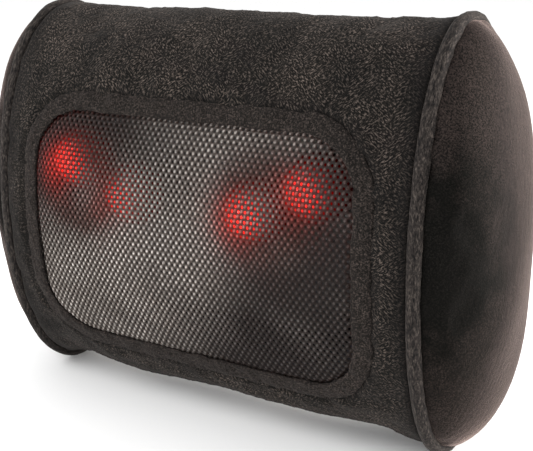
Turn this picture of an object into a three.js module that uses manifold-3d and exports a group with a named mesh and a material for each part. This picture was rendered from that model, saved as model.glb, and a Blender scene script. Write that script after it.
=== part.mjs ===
// A shiatsu neck massager: a plush bolster pillow with a mesh window in its front. Behind the mesh a
// worm-driven gearbox turns two arms in opposite directions, and each arm carries two massage heads.
// Millimetres. +X is to the right and along the pillow, -Y is the front, +Z is up.
// The origin is the centre of the bounding box's bottom.

import * as THREE from "three";
import { mergeVertices } from "three/addons/utils/BufferGeometryUtils.js";
import Module from "manifold-3d";

const wasm = await Module();
wasm.setup();

// Driving dimensions

const GAP = 0.3; // between pieces that touch

// Pillow. The section is measured on the centre line of the piping, from the section's centre.
const PIPING_X = 134; // centre of each end seam's piping
const PIPING_R = 4;
const HALF_HEIGHT = 118;
const FRONT_DEPTH = 64;
const BACK_DEPTH = 54;
const FRONT_POWER = 2.1; // exponents of the two half superellipses
const BACK_POWER = 2.4;
const FLATTENED = 1.5; // height lost where the pipings rest on the table
const COVER_INSET = 3; // the plush lies this far inside the piping's centre line
const COVER_THICK = 2.5;
const FRONT_BULGE = 12; // how far the mechanism pushes out the middle of the front
const BULGE_POWER = 6; // the higher, the flatter the front between its ends
const END_DOME = 36; // from the piping's centre to the end panel's crown
const DOME_POWER = 2.2;
const SECTION_STEPS = 40;
const LENGTH_STEPS = 8;

// Window
const WINDOW = { x: 0, z: -6, halfWidth: 104, halfHeight: 69, radius: 32 };
const BORDER_WIDTH = 9.5;
const MESH_SUNK = 0.8; // the mesh lies this far below the border's face
const MESH_THICK = 1.2;

// Gear train
const MODULE = 1.25;
const PRESSURE_ANGLE = (20 * Math.PI) / 180;
const BACKLASH = 0.4;
const WORM_R = 6;
const WHEEL_TEETH = 28;
const PINION_TEETH = 12;
const OUTPUT_TEETH = 46;
const ARM_Z = 22; // height of the arms' axes over the section's centre
const DRIVE_Y = -5; // depth of the worm's axis
const HEAD_ORBIT = 20; // from an arm's axis to each of its heads
const ARM_REST_TILT = (25 * Math.PI) / 180; // the outer heads sit higher

// Massage heads
const HEAD_R = 19;
const HEAD_Y = -41.5; // depth of the heads' centres in the mechanism's frame
const HEAD_BACK_Y = -36.5;

// Depths of the mechanism's layers, in the mechanism's own frame
const MECHANISM_X = -6; // where that frame stands in the pillow's section
const MECHANISM_Y = -3;
const ARM_FRONT_Y = -34;
const ARM_BACK_Y = -29.3;
const SHELL_FRONT_Y = -24.5;
const SHELL_SPLIT_Y = -22;
const SHELL_BACK_Y = 13;
const SHELL_WALL = 2.5;
const SHELL = { x: 0, z: 1, halfWidth: 97, halfHeight: 57, radius: 22 };
const SCREW_PLACES = [-1, 1].flatMap((sx) => [-1, 1].map((sz) => [sx * 86, SHELL.z + sz * 46]));
const SCREW_R = 1.4;

// Shafts
const OUTPUT_SHAFT_R = 4;
const AXLE_R = 2;
const HEAD_PIN_R = 2.9;

// Control module on the back
const CONTROL = { x: -92, z: 0, halfWidth: 18, halfHeight: 23, radius: 7 };
const NECK = { x: -92, z: 0, halfWidth: 14, halfHeight: 19, radius: 4 };
const CONTROL_FACE_Y = 53.5;
const BUTTON_Z = 10;
const INLET_Z = -10;
const BUTTON_R = 7;
const CONTROL_BOARD_Y = 38;

// Zip in the back
const ZIP = { x: 30, z: 0, halfWidth: 85, halfHeight: 6.5, radius: 5 };
const SLIDER_X = 104;

// Worked-out sizes

const WHEEL_R = (MODULE * WHEEL_TEETH) / 2;
const PINION_R = (MODULE * PINION_TEETH) / 2;
const OUTPUT_R = (MODULE * OUTPUT_TEETH) / 2;
const WHEEL_X = WORM_R + WHEEL_R;
const ARM_X = WHEEL_X + PINION_R + OUTPUT_R;
const LEAD = Math.PI * MODULE; // single-start worm
const MESH_INSET = COVER_INSET + MESH_SUNK;
const FRONT_REACH = (FRONT_DEPTH - MESH_INSET) * (1 + FRONT_BULGE / FRONT_DEPTH);
const PIPING_PROUD = PIPING_R * Math.cos(Math.PI / 6); // its section is a hexagon lying on a flat
const CENTRE_Y = (FRONT_REACH - BACK_DEPTH - PIPING_PROUD) / 2;
const CENTRE_Z = HALF_HEIGHT + PIPING_PROUD - FLATTENED;
const COVER_INNER = COVER_INSET + COVER_THICK;
const BACK_FACE_Y = BACK_DEPTH - COVER_INSET;

// Materials

function finish(color, roughness, metalness = 0) {
  return new THREE.MeshStandardMaterial({ color, roughness, metalness });
}

const PLUSH = finish(0x2b2725, 0.95);
const VELOUR = finish(0x3a3431, 0.85);
const PIPING = finish(0x46423f, 0.9);
const BORDER = finish(0x2e2a29, 0.95);
const MESH = finish(0x7a726b, 0.7);
const FOAM = finish(0x3c3c40, 0.9);
const BLACK_PLASTIC = finish(0x1c1c1e, 0.5);
const WHITE_PLASTIC = finish(0xe6e4dc, 0.45);
const RED_PLASTIC = finish(0xd02020, 0.3);
const STEEL = finish(0xb9bcc0, 0.35, 0.9);
const BRASS = finish(0xb08d45, 0.35, 0.9);
const BOARD = finish(0x16201a, 0.6);
const GREY_RUBBER = finish(0x55585c, 0.8);
const BLUE_LENS = finish(0x9fc7e8, 0.2);

// Solids

// A closed geometry as a solid, its faces turned outwards.
function solid(geometry) {
  const bare = geometry.clone();
  bare.deleteAttribute("normal");
  bare.deleteAttribute("uv");
  const merged = mergeVertices(bare, 1e-4);
  const vertProperties = merged.attributes.position.array;
  const triVerts = new Uint32Array(merged.index.array);
  const made = new wasm.Manifold(new wasm.Mesh({ numProp: 3, vertProperties, triVerts }));
  if (made.volume() > 0) return made;
  return new wasm.Manifold(
    new wasm.Mesh({ numProp: 3, vertProperties, triVerts: triVerts.slice().reverse() }),
  );
}

function geometryOf(made) {
  const mesh = made.getMesh();
  const geometry = new THREE.BufferGeometry();
  geometry.setAttribute("position", new THREE.BufferAttribute(mesh.vertProperties, 3));
  geometry.setIndex(new THREE.BufferAttribute(mesh.triVerts, 1));
  return geometry;
}

function join(first, ...others) {
  return others.reduce((sum, other) => sum.add(other), first);
}

function cut(first, ...others) {
  return others.reduce((left, other) => left.subtract(other), first);
}

// Moves each vertex of a geometry to where the function puts it.
function remap(geometry, place) {
  const position = geometry.attributes.position;
  const point = new THREE.Vector3();
  for (let i = 0; i < position.count; i++) {
    place(point.fromBufferAttribute(position, i));
    position.setXYZ(i, point.x, point.y, point.z);
  }
  return geometry;
}

function box(x0, x1, y0, y1, z0, z1) {
  const geometry = new THREE.BoxGeometry(x1 - x0, y1 - y0, z1 - z0);
  return solid(geometry.translate((x0 + x1) / 2, (y0 + y1) / 2, (z0 + z1) / 2));
}

// A shape drawn in X and Z, stretched along Y.
function prismY(shape, y0, y1, steps = 1) {
  const options = { depth: y1 - y0, steps, bevelEnabled: false, curveSegments: 4 };
  return new THREE.ExtrudeGeometry(shape, options).rotateX(Math.PI / 2).translate(0, y1, 0);
}

// A shape drawn in Y and Z, stretched along X.
function prismX(shape, x0, x1, steps = 1) {
  const options = { depth: x1 - x0, steps, bevelEnabled: false };
  const turn = new THREE.Matrix4().makeBasis(
    new THREE.Vector3(0, 1, 0),
    new THREE.Vector3(0, 0, 1),
    new THREE.Vector3(1, 0, 0),
  );
  return new THREE.ExtrudeGeometry(shape, options).applyMatrix4(turn).translate(x0, 0, 0);
}

function cylinderY(r, x, z, y0, y1, sides = 12) {
  const geometry = new THREE.CylinderGeometry(r, r, y1 - y0, sides);
  return solid(geometry.translate(x, (y0 + y1) / 2, z));
}

function cylinderZ(r, x, y, z0, z1, sides = 16) {
  const geometry = new THREE.CylinderGeometry(r, r, z1 - z0, sides).rotateX(Math.PI / 2);
  return solid(geometry.translate(x, y, (z0 + z1) / 2));
}

// A turned piece on the Y axis, from its [radius, y] points.
function turned(points, sides = 12) {
  const profile = points.map(([r, y]) => new THREE.Vector2(r, y));
  return solid(new THREE.LatheGeometry(profile, sides));
}

function roundedRect({ x, z, halfWidth, halfHeight, radius }, grow = 0) {
  const [w, h, r] = [halfWidth + grow, halfHeight + grow, Math.max(radius + grow, 0.5)];
  const shape = new THREE.Shape();
  shape.moveTo(x + w, z - h + r);
  shape.absarc(x + w - r, z + h - r, r, 0, Math.PI / 2, false);
  shape.absarc(x - w + r, z + h - r, r, Math.PI / 2, Math.PI, false);
  shape.absarc(x - w + r, z - h + r, r, Math.PI, 1.5 * Math.PI, false);
  shape.absarc(x + w - r, z - h + r, r, 1.5 * Math.PI, 2 * Math.PI, false);
  return shape;
}

function slab(rect, grow, y0, y1) {
  return solid(prismY(roundedRect(rect, grow), y0, y1));
}

// The pillow's section

// A point of the section's outline in Y and Z, `inset` inside the piping's centre line. Angle 0 is the
// front, and a quarter turn is the bottom.
function sectionPoint(angle, inset) {
  const forward = Math.cos(angle) > 0;
  const depth = (forward ? FRONT_DEPTH : BACK_DEPTH) - inset;
  const power = 2 / (forward ? FRONT_POWER : BACK_POWER);
  const reach = (value) => Math.sign(value) * Math.abs(value) ** power;
  return [-depth * reach(Math.cos(angle)), (inset - HALF_HEIGHT) * reach(Math.sin(angle))];
}

function sectionPoints(inset) {
  const turn = (2 * Math.PI) / SECTION_STEPS;
  return Array.from({ length: SECTION_STEPS }, (_, i) => {
    const [y, z] = sectionPoint(i * turn, inset);
    return new THREE.Vector2(y, z);
  });
}

// Pushes the front outwards, most at mid length and nothing at the end seams.
function bulged(point) {
  if (point.y > 0) return;
  const share = 1 - (Math.abs(point.x) / PIPING_X) ** BULGE_POWER;
  point.y *= 1 + (FRONT_BULGE / FRONT_DEPTH) * share;
}

// A tube or bar of the pillow's section, along the pillow from -halfLength to halfLength.
function bolster(inset, halfLength, innerInset = null) {
  const shape = new THREE.Shape(sectionPoints(inset));
  if (innerInset !== null) shape.holes.push(new THREE.Path(sectionPoints(innerInset)));
  return solid(remap(prismX(shape, -halfLength, halfLength, LENGTH_STEPS), bulged));
}

// Only the part in front of the mechanism or behind it.
function frontOf(y) {
  return box(-200, 200, -200, y, -200, 200);
}

function behind(y) {
  return box(-200, 200, y, 200, -200, 200);
}

// A dome that closes the right end, turned round X and stretched to the pillow's section.
function endDome(inset, crown, startX, thickness = null) {
  const rings = 5;
  const radius = HALF_HEIGHT - inset;
  const ring = (height, r, k) => {
    const rise = Math.sin((k / rings) * (Math.PI / 2)) ** (2 / DOME_POWER);
    const out = Math.cos((k / rings) * (Math.PI / 2)) ** (2 / DOME_POWER);
    return [out * r, startX + rise * height];
  };
  const surface = (height, r) => Array.from({ length: rings + 1 }, (_, k) => ring(height, r, k));
  const outer = surface(crown - startX, radius);
  outer[rings][0] = 0;
  const inner =
    thickness === null
      ? [[0, startX]]
      : surface(crown - startX - thickness, radius - thickness).reverse();
  inner[0][0] = 0;
  const profile = [...inner, ...outer].map(([r, x]) => new THREE.Vector2(r, x));
  const geometry = new THREE.LatheGeometry(profile, 28);
  return solid(
    remap(geometry, (point) => {
      const [y, z] = sectionPoint(Math.atan2(point.x, point.z), 0);
      const scale = Math.hypot(point.x, point.z) / HALF_HEIGHT;
      point.set(point.y, y * scale, z * scale);
    }),
  );
}

// Soft pieces

function makeCover() {
  const sleeve = bolster(COVER_INSET, PIPING_X - PIPING_R + GAP, COVER_INNER);
  const window = slab(WINDOW, BORDER_WIDTH + GAP, -100, 0);
  const zipSlit = slab(ZIP, GAP, 0, 100);
  const controlHole = slab(NECK, GAP, 0, 100);
  return cut(sleeve, window, zipSlit, controlHole);
}

function makeBorder() {
  const band = cut(slab(WINDOW, BORDER_WIDTH, -100, 0), slab(WINDOW, 0, -101, 1));
  return bolster(COVER_INSET, PIPING_X - PIPING_R, COVER_INNER).intersect(band);
}

function makeMeshPanel() {
  const sheet = bolster(MESH_INSET, PIPING_X - PIPING_R, MESH_INSET + MESH_THICK);
  return sheet.intersect(slab(WINDOW, -GAP, -100, 0));
}

function makeEndPanel() {
  return endDome(COVER_INSET, PIPING_X + END_DOME, PIPING_X + PIPING_R - GAP, COVER_THICK);
}

function makeEndFoam() {
  const inset = COVER_INNER + 2 * GAP;
  const crown = PIPING_X + END_DOME - COVER_THICK - 2 * GAP;
  return endDome(inset, crown, PIPING_X + PIPING_R - GAP);
}

// A loop of piping round the section at x = 0, flat where it rests on the table.
function makePiping() {
  const sides = 6;
  const loop = new THREE.TorusGeometry(1, 0.5, sides, SECTION_STEPS);
  return solid(
    remap(loop, (point) => {
      const alongLoop = Math.atan2(point.y, point.x);
      const roundCord = Math.atan2(point.z, Math.hypot(point.x, point.y) - 1) + Math.PI / sides;
      const [y, z] = sectionPoint(alongLoop, -PIPING_R * Math.cos(roundCord));
      point.set(PIPING_R * Math.sin(roundCord), y, Math.max(z, -CENTRE_Z));
    }),
  );
}

const FOAM_SPLIT_Y = MECHANISM_Y + SHELL_BACK_Y + 1;
const WELL = { x: MECHANISM_X, z: 1.5, halfWidth: 104, halfHeight: 62.5, radius: 26 };
const LEAD_PLACE = { x: -85, z: -12 };

function makeFoamFrame() {
  const bar = bolster(COVER_INNER + 2 * GAP, PIPING_X - PIPING_R);
  return cut(bar.intersect(frontOf(FOAM_SPLIT_Y)), slab(WELL, 0, -100, 100));
}

function makeBackFoam() {
  const bar = bolster(COVER_INNER + 2 * GAP, PIPING_X - PIPING_R);
  const pocket = slab(NECK, 1.5, 34.5, 100);
  const leadChannel = cylinderY(3, LEAD_PLACE.x + MECHANISM_X, LEAD_PLACE.z, 0, 100, 8);
  return cut(bar.intersect(behind(FOAM_SPLIT_Y + GAP)), pocket, leadChannel);
}

// Mechanism, on a frame whose centre is the section's centre

function makeFrontShell() {
  const plate = slab(SHELL, 0, SHELL_FRONT_Y, SHELL_SPLIT_Y);
  const bushHoles = [-1, 1].map((side) => cylinderY(7.3, side * ARM_X, ARM_Z, -50, 0, 16));
  const screwHoles = SCREW_PLACES.map(([x, z]) => cylinderY(SCREW_R + GAP, x, z, -50, 0, 8));
  return cut(plate, ...bushHoles, ...screwHoles);
}

function makeBackShell() {
  const rim = SHELL_SPLIT_Y + GAP;
  const floor = SHELL_BACK_Y - SHELL_WALL;
  const tray = cut(slab(SHELL, 0, rim, SHELL_BACK_Y), slab(SHELL, -SHELL_WALL, -50, floor));
  const posts = [];
  const bores = [];
  for (const side of [-1, 1]) {
    posts.push(cylinderY(7, side * ARM_X, ARM_Z, 1, floor + 1));
    bores.push(cylinderY(OUTPUT_SHAFT_R + GAP, side * ARM_X, ARM_Z, 0, floor - 0.5));
    posts.push(cylinderY(4.5, side * WHEEL_X, ARM_Z, 0.5, floor + 1, 12));
    bores.push(cylinderY(AXLE_R + GAP, side * WHEEL_X, ARM_Z, 0, floor - 0.5, 10));
  }
  for (const [x, z] of SCREW_PLACES) {
    posts.push(cylinderY(4.5, x, z, rim, floor + 1, 8));
    bores.push(cylinderY(SCREW_R + GAP, x, z, rim - 1, 2, 8));
  }
  // the steady bearing of the motor shaft
  posts.push(box(-6, 6, DRIVE_Y - 5, floor + 1, 33, 37));
  bores.push(cylinderZ(AXLE_R + GAP, 0, DRIVE_Y, 30, 40, 10));
  bores.push(cylinderY(2.6, LEAD_PLACE.x, LEAD_PLACE.z, 0, 50, 8));
  return cut(join(tray, ...posts), ...bores);
}

// Half the angle that a tooth fills at radius r, on an involute of the given pitch radius.
function toothHalfAngle(r, pitchR, teeth) {
  const involute = (angle) => Math.tan(angle) - angle;
  const baseR = pitchR * Math.cos(PRESSURE_ANGLE);
  const atR = Math.acos(Math.min(1, baseR / Math.max(r, baseR)));
  const atPitch = Math.PI / (2 * teeth) - BACKLASH / (4 * pitchR);
  return atPitch + involute(PRESSURE_ANGLE) - involute(atR);
}

// Outline of a spur gear with one tooth centred on the +X direction, turned by `phase`.
function gearShape(teeth, phase, flankPoints) {
  const pitchR = (MODULE * teeth) / 2;
  const rootR = pitchR - 1.25 * MODULE;
  const tipR = pitchR + 0.9 * MODULE;
  const points = [];
  const flank = Array.from(
    { length: flankPoints },
    (_, k) => rootR + ((tipR - rootR) * k) / (flankPoints - 1),
  );
  const put = (r, angle) => points.push(new THREE.Vector2(r * Math.cos(angle), r * Math.sin(angle)));
  for (let tooth = 0; tooth < teeth; tooth++) {
    const middle = phase + (2 * Math.PI * tooth) / teeth;
    for (const r of flank) put(r, middle - toothHalfAngle(r, pitchR, teeth));
    for (const r of [...flank].reverse()) put(r, middle + toothHalfAngle(r, pitchR, teeth));
  }
  return new THREE.Shape(points);
}

const OUTPUT_GEAR_Y = [-20, -12];
const PINION_Y = [-20.6, -9];
const WHEEL_Y = [DRIVE_Y - 4, DRIVE_Y + 4];

function makeOutputGear() {
  const teeth = solid(prismY(gearShape(OUTPUT_TEETH, 0, 2), ...OUTPUT_GEAR_Y));
  const hub = cylinderY(9, 0, 0, OUTPUT_GEAR_Y[0], -3);
  const bore = cylinderY(OUTPUT_SHAFT_R + GAP, 0, 0, -50, 50);
  const lighten = Array.from({ length: 5 }, (_, k) => {
    const angle = (2 * Math.PI * k) / 5;
    return cylinderY(5.5, 18 * Math.cos(angle), 18 * Math.sin(angle), -50, 50, 8);
  });
  return cut(join(teeth, hub), bore, ...lighten);
}

function makeCompoundGear() {
  const helix = -LEAD / (2 * Math.PI * WORM_R) / WHEEL_R; // turn per millimetre along Y
  const wheel = remap(prismY(gearShape(WHEEL_TEETH, 0, 2), ...WHEEL_Y, 2), (point) => {
    const angle = Math.atan2(point.z, point.x) + helix * (point.y - DRIVE_Y);
    const r = Math.hypot(point.x, point.z);
    point.set(r * Math.cos(angle), point.y, r * Math.sin(angle));
  });
  const pinion = prismY(gearShape(PINION_TEETH, Math.PI / PINION_TEETH, 3), ...PINION_Y);
  const overlap = cylinderY(5, 0, 0, -12, DRIVE_Y, 12);
  const bore = cylinderY(AXLE_R + GAP, 0, 0, -50, 50, 10);
  return cut(join(solid(wheel), solid(pinion), overlap), bore);
}

const WORM_Z = [ARM_Z - 8, ARM_Z + 8];

// The worm's thread, one crest centred on the +X direction at the height of the arms' axes.
function makeWorm() {
  const rootR = 4.4;
  const tipR = WORM_R + 0.9 * MODULE;
  const halfWidth = (r) => LEAD / 4 - BACKLASH / 4 - (r - WORM_R) * Math.tan(PRESSURE_ANGLE);
  const angleAt = (r) => (2 * Math.PI * halfWidth(r)) / LEAD;
  const stretch = (from, to, count, radiusAt) =>
    Array.from({ length: count }, (_, k) => {
      const angle = from + ((to - from) * k) / count;
      return [radiusAt(k / count), angle];
    });
  const crest = angleAt(tipR);
  const valley = angleAt(rootR);
  const outline = [
    ...stretch(-crest, crest, 3, () => tipR),
    ...stretch(crest, valley, 3, (share) => tipR + (rootR - tipR) * share),
    ...stretch(valley, 2 * Math.PI - valley, 3, () => rootR),
    ...stretch(2 * Math.PI - valley, 2 * Math.PI - crest, 3, (share) => rootR + (tipR - rootR) * share),
  ];
  const shape = new THREE.Shape(
    outline.map(([r, angle]) => new THREE.Vector2(r * Math.cos(angle), r * Math.sin(angle))),
  );
  const length = WORM_Z[1] - WORM_Z[0];
  const steps = Math.round((length / LEAD) * 10);
  const thread = new THREE.ExtrudeGeometry(shape, { depth: length, steps, bevelEnabled: false });
  remap(thread.translate(0, 0, WORM_Z[0]), (point) => {
    const angle = Math.atan2(point.y, point.x) + (2 * Math.PI * (point.z - ARM_Z)) / LEAD;
    const r = Math.hypot(point.x, point.y);
    point.set(r * Math.cos(angle), r * Math.sin(angle) + DRIVE_Y, point.z);
  });
  return cut(solid(thread), cylinderZ(AXLE_R + GAP, 0, DRIVE_Y, -50, 50, 10));
}

const MOTOR_R = 14;
const MOTOR_Z = [-48, -12];

function makeMotorCan() {
  const can = cylinderZ(MOTOR_R, 0, DRIVE_Y, ...MOTOR_Z, 24);
  const nose = cylinderZ(4, 0, DRIVE_Y, MOTOR_Z[1] - 1, MOTOR_Z[1] + 2, 12);
  const bore = cylinderZ(AXLE_R + GAP, 0, DRIVE_Y, MOTOR_Z[0] + 8, 0, 10);
  return cut(join(can, nose), bore);
}

function makeMotorEndBell() {
  const bell = cylinderZ(MOTOR_R - 0.5, 0, DRIVE_Y, MOTOR_Z[0] - 4.7, MOTOR_Z[0] - GAP, 24);
  const notch = box(-20, 20, DRIVE_Y + 8, 20, MOTOR_Z[0] - 10, MOTOR_Z[0] - 2);
  return cut(bell, notch);
}

function makeMotorBracket() {
  const [z0, z1] = [MOTOR_Z[1] + GAP, MOTOR_Z[1] + 2.3];
  const plate = box(-24, 24, SHELL_SPLIT_Y + 1.5, SHELL_BACK_Y - SHELL_WALL - GAP, z0, z1);
  return cut(plate, cylinderZ(4 + GAP, 0, DRIVE_Y, -30, 0, 12));
}

function makeMotorShaft() {
  return cylinderZ(AXLE_R, 0, DRIVE_Y, MOTOR_Z[0] + 9, 39, 10);
}

function makeOutputShaft() {
  return turned([
    [0, -26],
    [1.9, -26],
    [1.9, ARM_BACK_Y - 4.4],
    [OUTPUT_SHAFT_R, ARM_BACK_Y - 4.4],
    [OUTPUT_SHAFT_R, 9],
    [0, 9],
  ]);
}

function makeArmScrew() {
  return turned([
    [0, HEAD_BACK_Y + GAP],
    [5.4, HEAD_BACK_Y + GAP],
    [5.4, ARM_FRONT_Y - GAP],
    [1.6, ARM_FRONT_Y - GAP],
    [1.6, -27],
    [0, -27],
  ], 10);
}

function makeBush() {
  return turned([
    [OUTPUT_SHAFT_R + GAP, SHELL_FRONT_Y - 1],
    [9, SHELL_FRONT_Y - 1],
    [9, SHELL_FRONT_Y - GAP],
    [7, SHELL_FRONT_Y - GAP],
    [7, SHELL_SPLIT_Y + 1],
    [OUTPUT_SHAFT_R + GAP, SHELL_SPLIT_Y + 1],
    [OUTPUT_SHAFT_R + GAP, SHELL_FRONT_Y - 1],
  ]);
}

// An arm along X on the Y axis: a hub, and a boss under each of its two heads.
function makeArm() {
  const bar = { x: 0, z: 0, halfWidth: HEAD_ORBIT + 9, halfHeight: 8, radius: 7.9 };
  const plate = slab(bar, 0, ARM_FRONT_Y, ARM_BACK_Y);
  const hub = cylinderY(11, 0, 0, ARM_FRONT_Y, ARM_BACK_Y, 16);
  const holes = [-1, 1].map((side) => cylinderY(HEAD_PIN_R + GAP, side * HEAD_ORBIT, 0, -50, 0, 10));
  return cut(join(plate, hub), cylinderY(OUTPUT_SHAFT_R + GAP, 0, 0, -50, 0), ...holes);
}

function makeHeadPin() {
  return turned([
    [0, HEAD_Y - 4.1],
    [HEAD_PIN_R, HEAD_Y - 4.1],
    [HEAD_PIN_R, HEAD_BACK_Y + GAP],
    [5, HEAD_BACK_Y + GAP],
    [5, ARM_FRONT_Y - GAP],
    [HEAD_PIN_R, ARM_FRONT_Y - GAP],
    [HEAD_PIN_R, ARM_BACK_Y + GAP],
    [0, ARM_BACK_Y + GAP],
  ], 10);
}

// A hollow dome with a boss inside for its pin.
function makeHead() {
  const wall = 3.2;
  const dome = Array.from({ length: 6 }, (_, k) => {
    const angle = (k / 5) * (Math.PI / 2);
    return [HEAD_R * Math.sin(angle), HEAD_Y - HEAD_R * Math.cos(angle)];
  });
  return turned([
    ...dome,
    [HEAD_R - 0.6, HEAD_BACK_Y],
    [HEAD_R - wall, HEAD_BACK_Y],
    [HEAD_R - wall, HEAD_Y - 2],
    [HEAD_R - 8, HEAD_Y - 11.5],
    [6, HEAD_Y - 12.5],
    [6, HEAD_BACK_Y],
    [HEAD_PIN_R + 0.4, HEAD_BACK_Y],
    [HEAD_PIN_R + 0.4, HEAD_Y - 5],
    [0, HEAD_Y - 5],
  ], 14);
}

function makeAxle() {
  return cylinderY(AXLE_R, 0, 0, SHELL_SPLIT_Y + GAP, 9, 10);
}

// A ring of lamps behind an arm, round its bush.
function makeLightBoard() {
  const front = SHELL_FRONT_Y - GAP - 1.6;
  const ring = cut(
    cylinderY(HEAD_ORBIT + 11, 0, 0, front, SHELL_FRONT_Y - GAP, 20),
    cylinderY(12, 0, 0, -50, 0, 12),
  );
  const lamps = Array.from({ length: 6 }, (_, k) => {
    const angle = (2 * Math.PI * k) / 6;
    const [x, z] = [HEAD_ORBIT * Math.cos(angle), HEAD_ORBIT * Math.sin(angle)];
    return cylinderY(2.5, x, z, front - 1.8, front + 0.5, 6);
  });
  return join(ring, ...lamps);
}

function makeHousingScrew() {
  return turned([
    [0, SHELL_FRONT_Y - 2],
    [3, SHELL_FRONT_Y - 2],
    [3, SHELL_FRONT_Y - GAP],
    [SCREW_R, SHELL_FRONT_Y - GAP],
    [SCREW_R, 1.5],
    [0, 1.5],
  ], 8);
}

// The lead from the control board, through the back shell, to the motor's end bell.
const LEAD_ROUTE = [
  [LEAD_PLACE.x, CONTROL_BOARD_Y - MECHANISM_Y - GAP, LEAD_PLACE.z],
  [LEAD_PLACE.x, 28, LEAD_PLACE.z],
  [LEAD_PLACE.x, 12, LEAD_PLACE.z],
  [LEAD_PLACE.x + 1, 6, LEAD_PLACE.z - 3],
  [-76, 4, -26],
  [-58, 3, -36],
  [-36, 1, -46],
  [-15.5, -3, MOTOR_Z[0] - 2],
];

function makeMotorLead() {
  const path = new THREE.CatmullRomCurve3(LEAD_ROUTE.map((point) => new THREE.Vector3(...point)));
  const circle = new THREE.Shape().absarc(0, 0, 1.6, 0, 2 * Math.PI, false);
  const options = { steps: 20, curveSegments: 4, bevelEnabled: false, extrudePath: path };
  return solid(new THREE.ExtrudeGeometry(circle, options));
}

// Control module

function makeControlBezel() {
  const inside = BACK_FACE_Y + GAP;
  const plate = slab(CONTROL, 0, inside, CONTROL_FACE_Y);
  const neck = cut(slab(NECK, 0, 36, inside + 0.5), slab(NECK, -2, 30, inside));
  const holes = [
    cylinderY(BUTTON_R + GAP, CONTROL.x, BUTTON_Z, 40, 60, 20),
    cylinderY(1.9, CONTROL.x, 0, 40, 60, 10),
    box(CONTROL.x - 5, CONTROL.x + 5, 40, 60, INLET_Z - 6, INLET_Z + 6),
  ];
  return cut(join(plate, neck), ...holes);
}

function makeControlBoard() {
  return slab(NECK, -2 - GAP, CONTROL_BOARD_Y, CONTROL_BOARD_Y + 1.6);
}

function makeButtonSwitch() {
  const body = box(CONTROL.x - 3, CONTROL.x + 3, 39.9, 43, BUTTON_Z - 3, BUTTON_Z + 3);
  return join(body, cylinderY(1.7, CONTROL.x, BUTTON_Z, 42.5, 43.8, 10));
}

const BUTTON_TRAVEL = 1.2;

function makePowerButton() {
  return turned([
    [0, 43.8 + BUTTON_TRAVEL + GAP],
    [2, 43.8 + BUTTON_TRAVEL + GAP],
    [2, 49.5],
    [BUTTON_R, 49.5],
    [BUTTON_R, 54.6],
    [BUTTON_R - 0.8, 55.4],
    [0, 55],
  ], 18);
}

function makeIndicatorLens() {
  return cylinderY(1.6, CONTROL.x, 0, 49, CONTROL_FACE_Y + 0.3, 10);
}

function makePowerInlet() {
  const body = box(CONTROL.x - 4.7, CONTROL.x + 4.7, 40, CONTROL_FACE_Y - 0.2, INLET_Z - 5.7, INLET_Z + 5.7);
  const socket = cylinderY(2.9, CONTROL.x, INLET_Z, 43.5, 60, 14);
  const pin = cylinderY(1, CONTROL.x, INLET_Z, 43, 52.5, 8);
  return join(cut(body, socket), pin);
}

// Zip

function makeZipTape() {
  return slab(ZIP, -GAP, BACK_FACE_Y - 2.2, BACK_FACE_Y - 1);
}

function makeZipTeeth() {
  const [x0, x1] = [ZIP.x - ZIP.halfWidth + 6, ZIP.x + ZIP.halfWidth - 4];
  return box(x0, x1, BACK_FACE_Y - 0.7, BACK_FACE_Y + 0.5, -2.2, 2.2);
}

function makeZipSlider() {
  const [y0, y1] = [BACK_FACE_Y + 0.8, BACK_FACE_Y + 3];
  const body = box(SLIDER_X - 5, SLIDER_X + 5, y0, y1, -4, 4);
  const bridge = box(SLIDER_X - 1.5, SLIDER_X + 1.5, y1 - 0.5, y1 + 3, -3.5, 3.5);
  const eye = box(SLIDER_X - 3, SLIDER_X + 3, y1, y1 + 1.8, -1.6, 1.6);
  return cut(join(body, bridge), eye);
}

function makeZipPull() {
  const y = BACK_FACE_Y + 3.9;
  const tab = box(SLIDER_X - 3.5, SLIDER_X + 3.5, y - 0.5, y + 0.5, -24, 0.5);
  const eye = box(SLIDER_X - 2, SLIDER_X + 2, y - 2, y + 2, -6.5, -0.7);
  return cut(tab, eye);
}

// Assembly

const massager = new THREE.Group();
const pillow = new THREE.Group(); // its origin is the section's centre
pillow.position.set(0, CENTRE_Y, CENTRE_Z);
massager.add(pillow);
const mechanism = new THREE.Group();
mechanism.position.set(MECHANISM_X, MECHANISM_Y, 0);
pillow.add(mechanism);

function add(name, made, material, parent = pillow) {
  const mesh = new THREE.Mesh(geometryOf(made), material);
  mesh.name = name;
  parent.add(mesh);
  return mesh;
}

// A group on an axis along Y at [x, z], turned anticlockwise by `angle` as seen from the front.
function onAxis(x, z, angle = 0, parent = mechanism) {
  const group = new THREE.Group();
  group.position.set(x, 0, z);
  group.rotation.y = -angle;
  parent.add(group);
  return group;
}

add("cover", makeCover(), PLUSH);
add("window_border", makeBorder(), BORDER);
add("mesh_panel", makeMeshPanel(), MESH);
add("foam_frame", makeFoamFrame(), FOAM);
add("back_foam", makeBackFoam(), FOAM);

for (const [side, name] of [[-1, "left"], [1, "right"]]) {
  const half = new THREE.Group();
  half.scale.x = side;
  pillow.add(half);
  add(name + "_end_panel", makeEndPanel(), VELOUR, half);
  add(name + "_end_foam", makeEndFoam(), FOAM, half);
  add(name + "_piping", makePiping(), PIPING).position.x = side * PIPING_X;
}

add("gearbox_front_shell", makeFrontShell(), BLACK_PLASTIC, mechanism);
add("gearbox_back_shell", makeBackShell(), BLACK_PLASTIC, mechanism);
SCREW_PLACES.forEach(([x, z], i) => {
  add("housing_screw_" + (i + 1), makeHousingScrew(), STEEL, onAxis(x, z));
});

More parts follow.
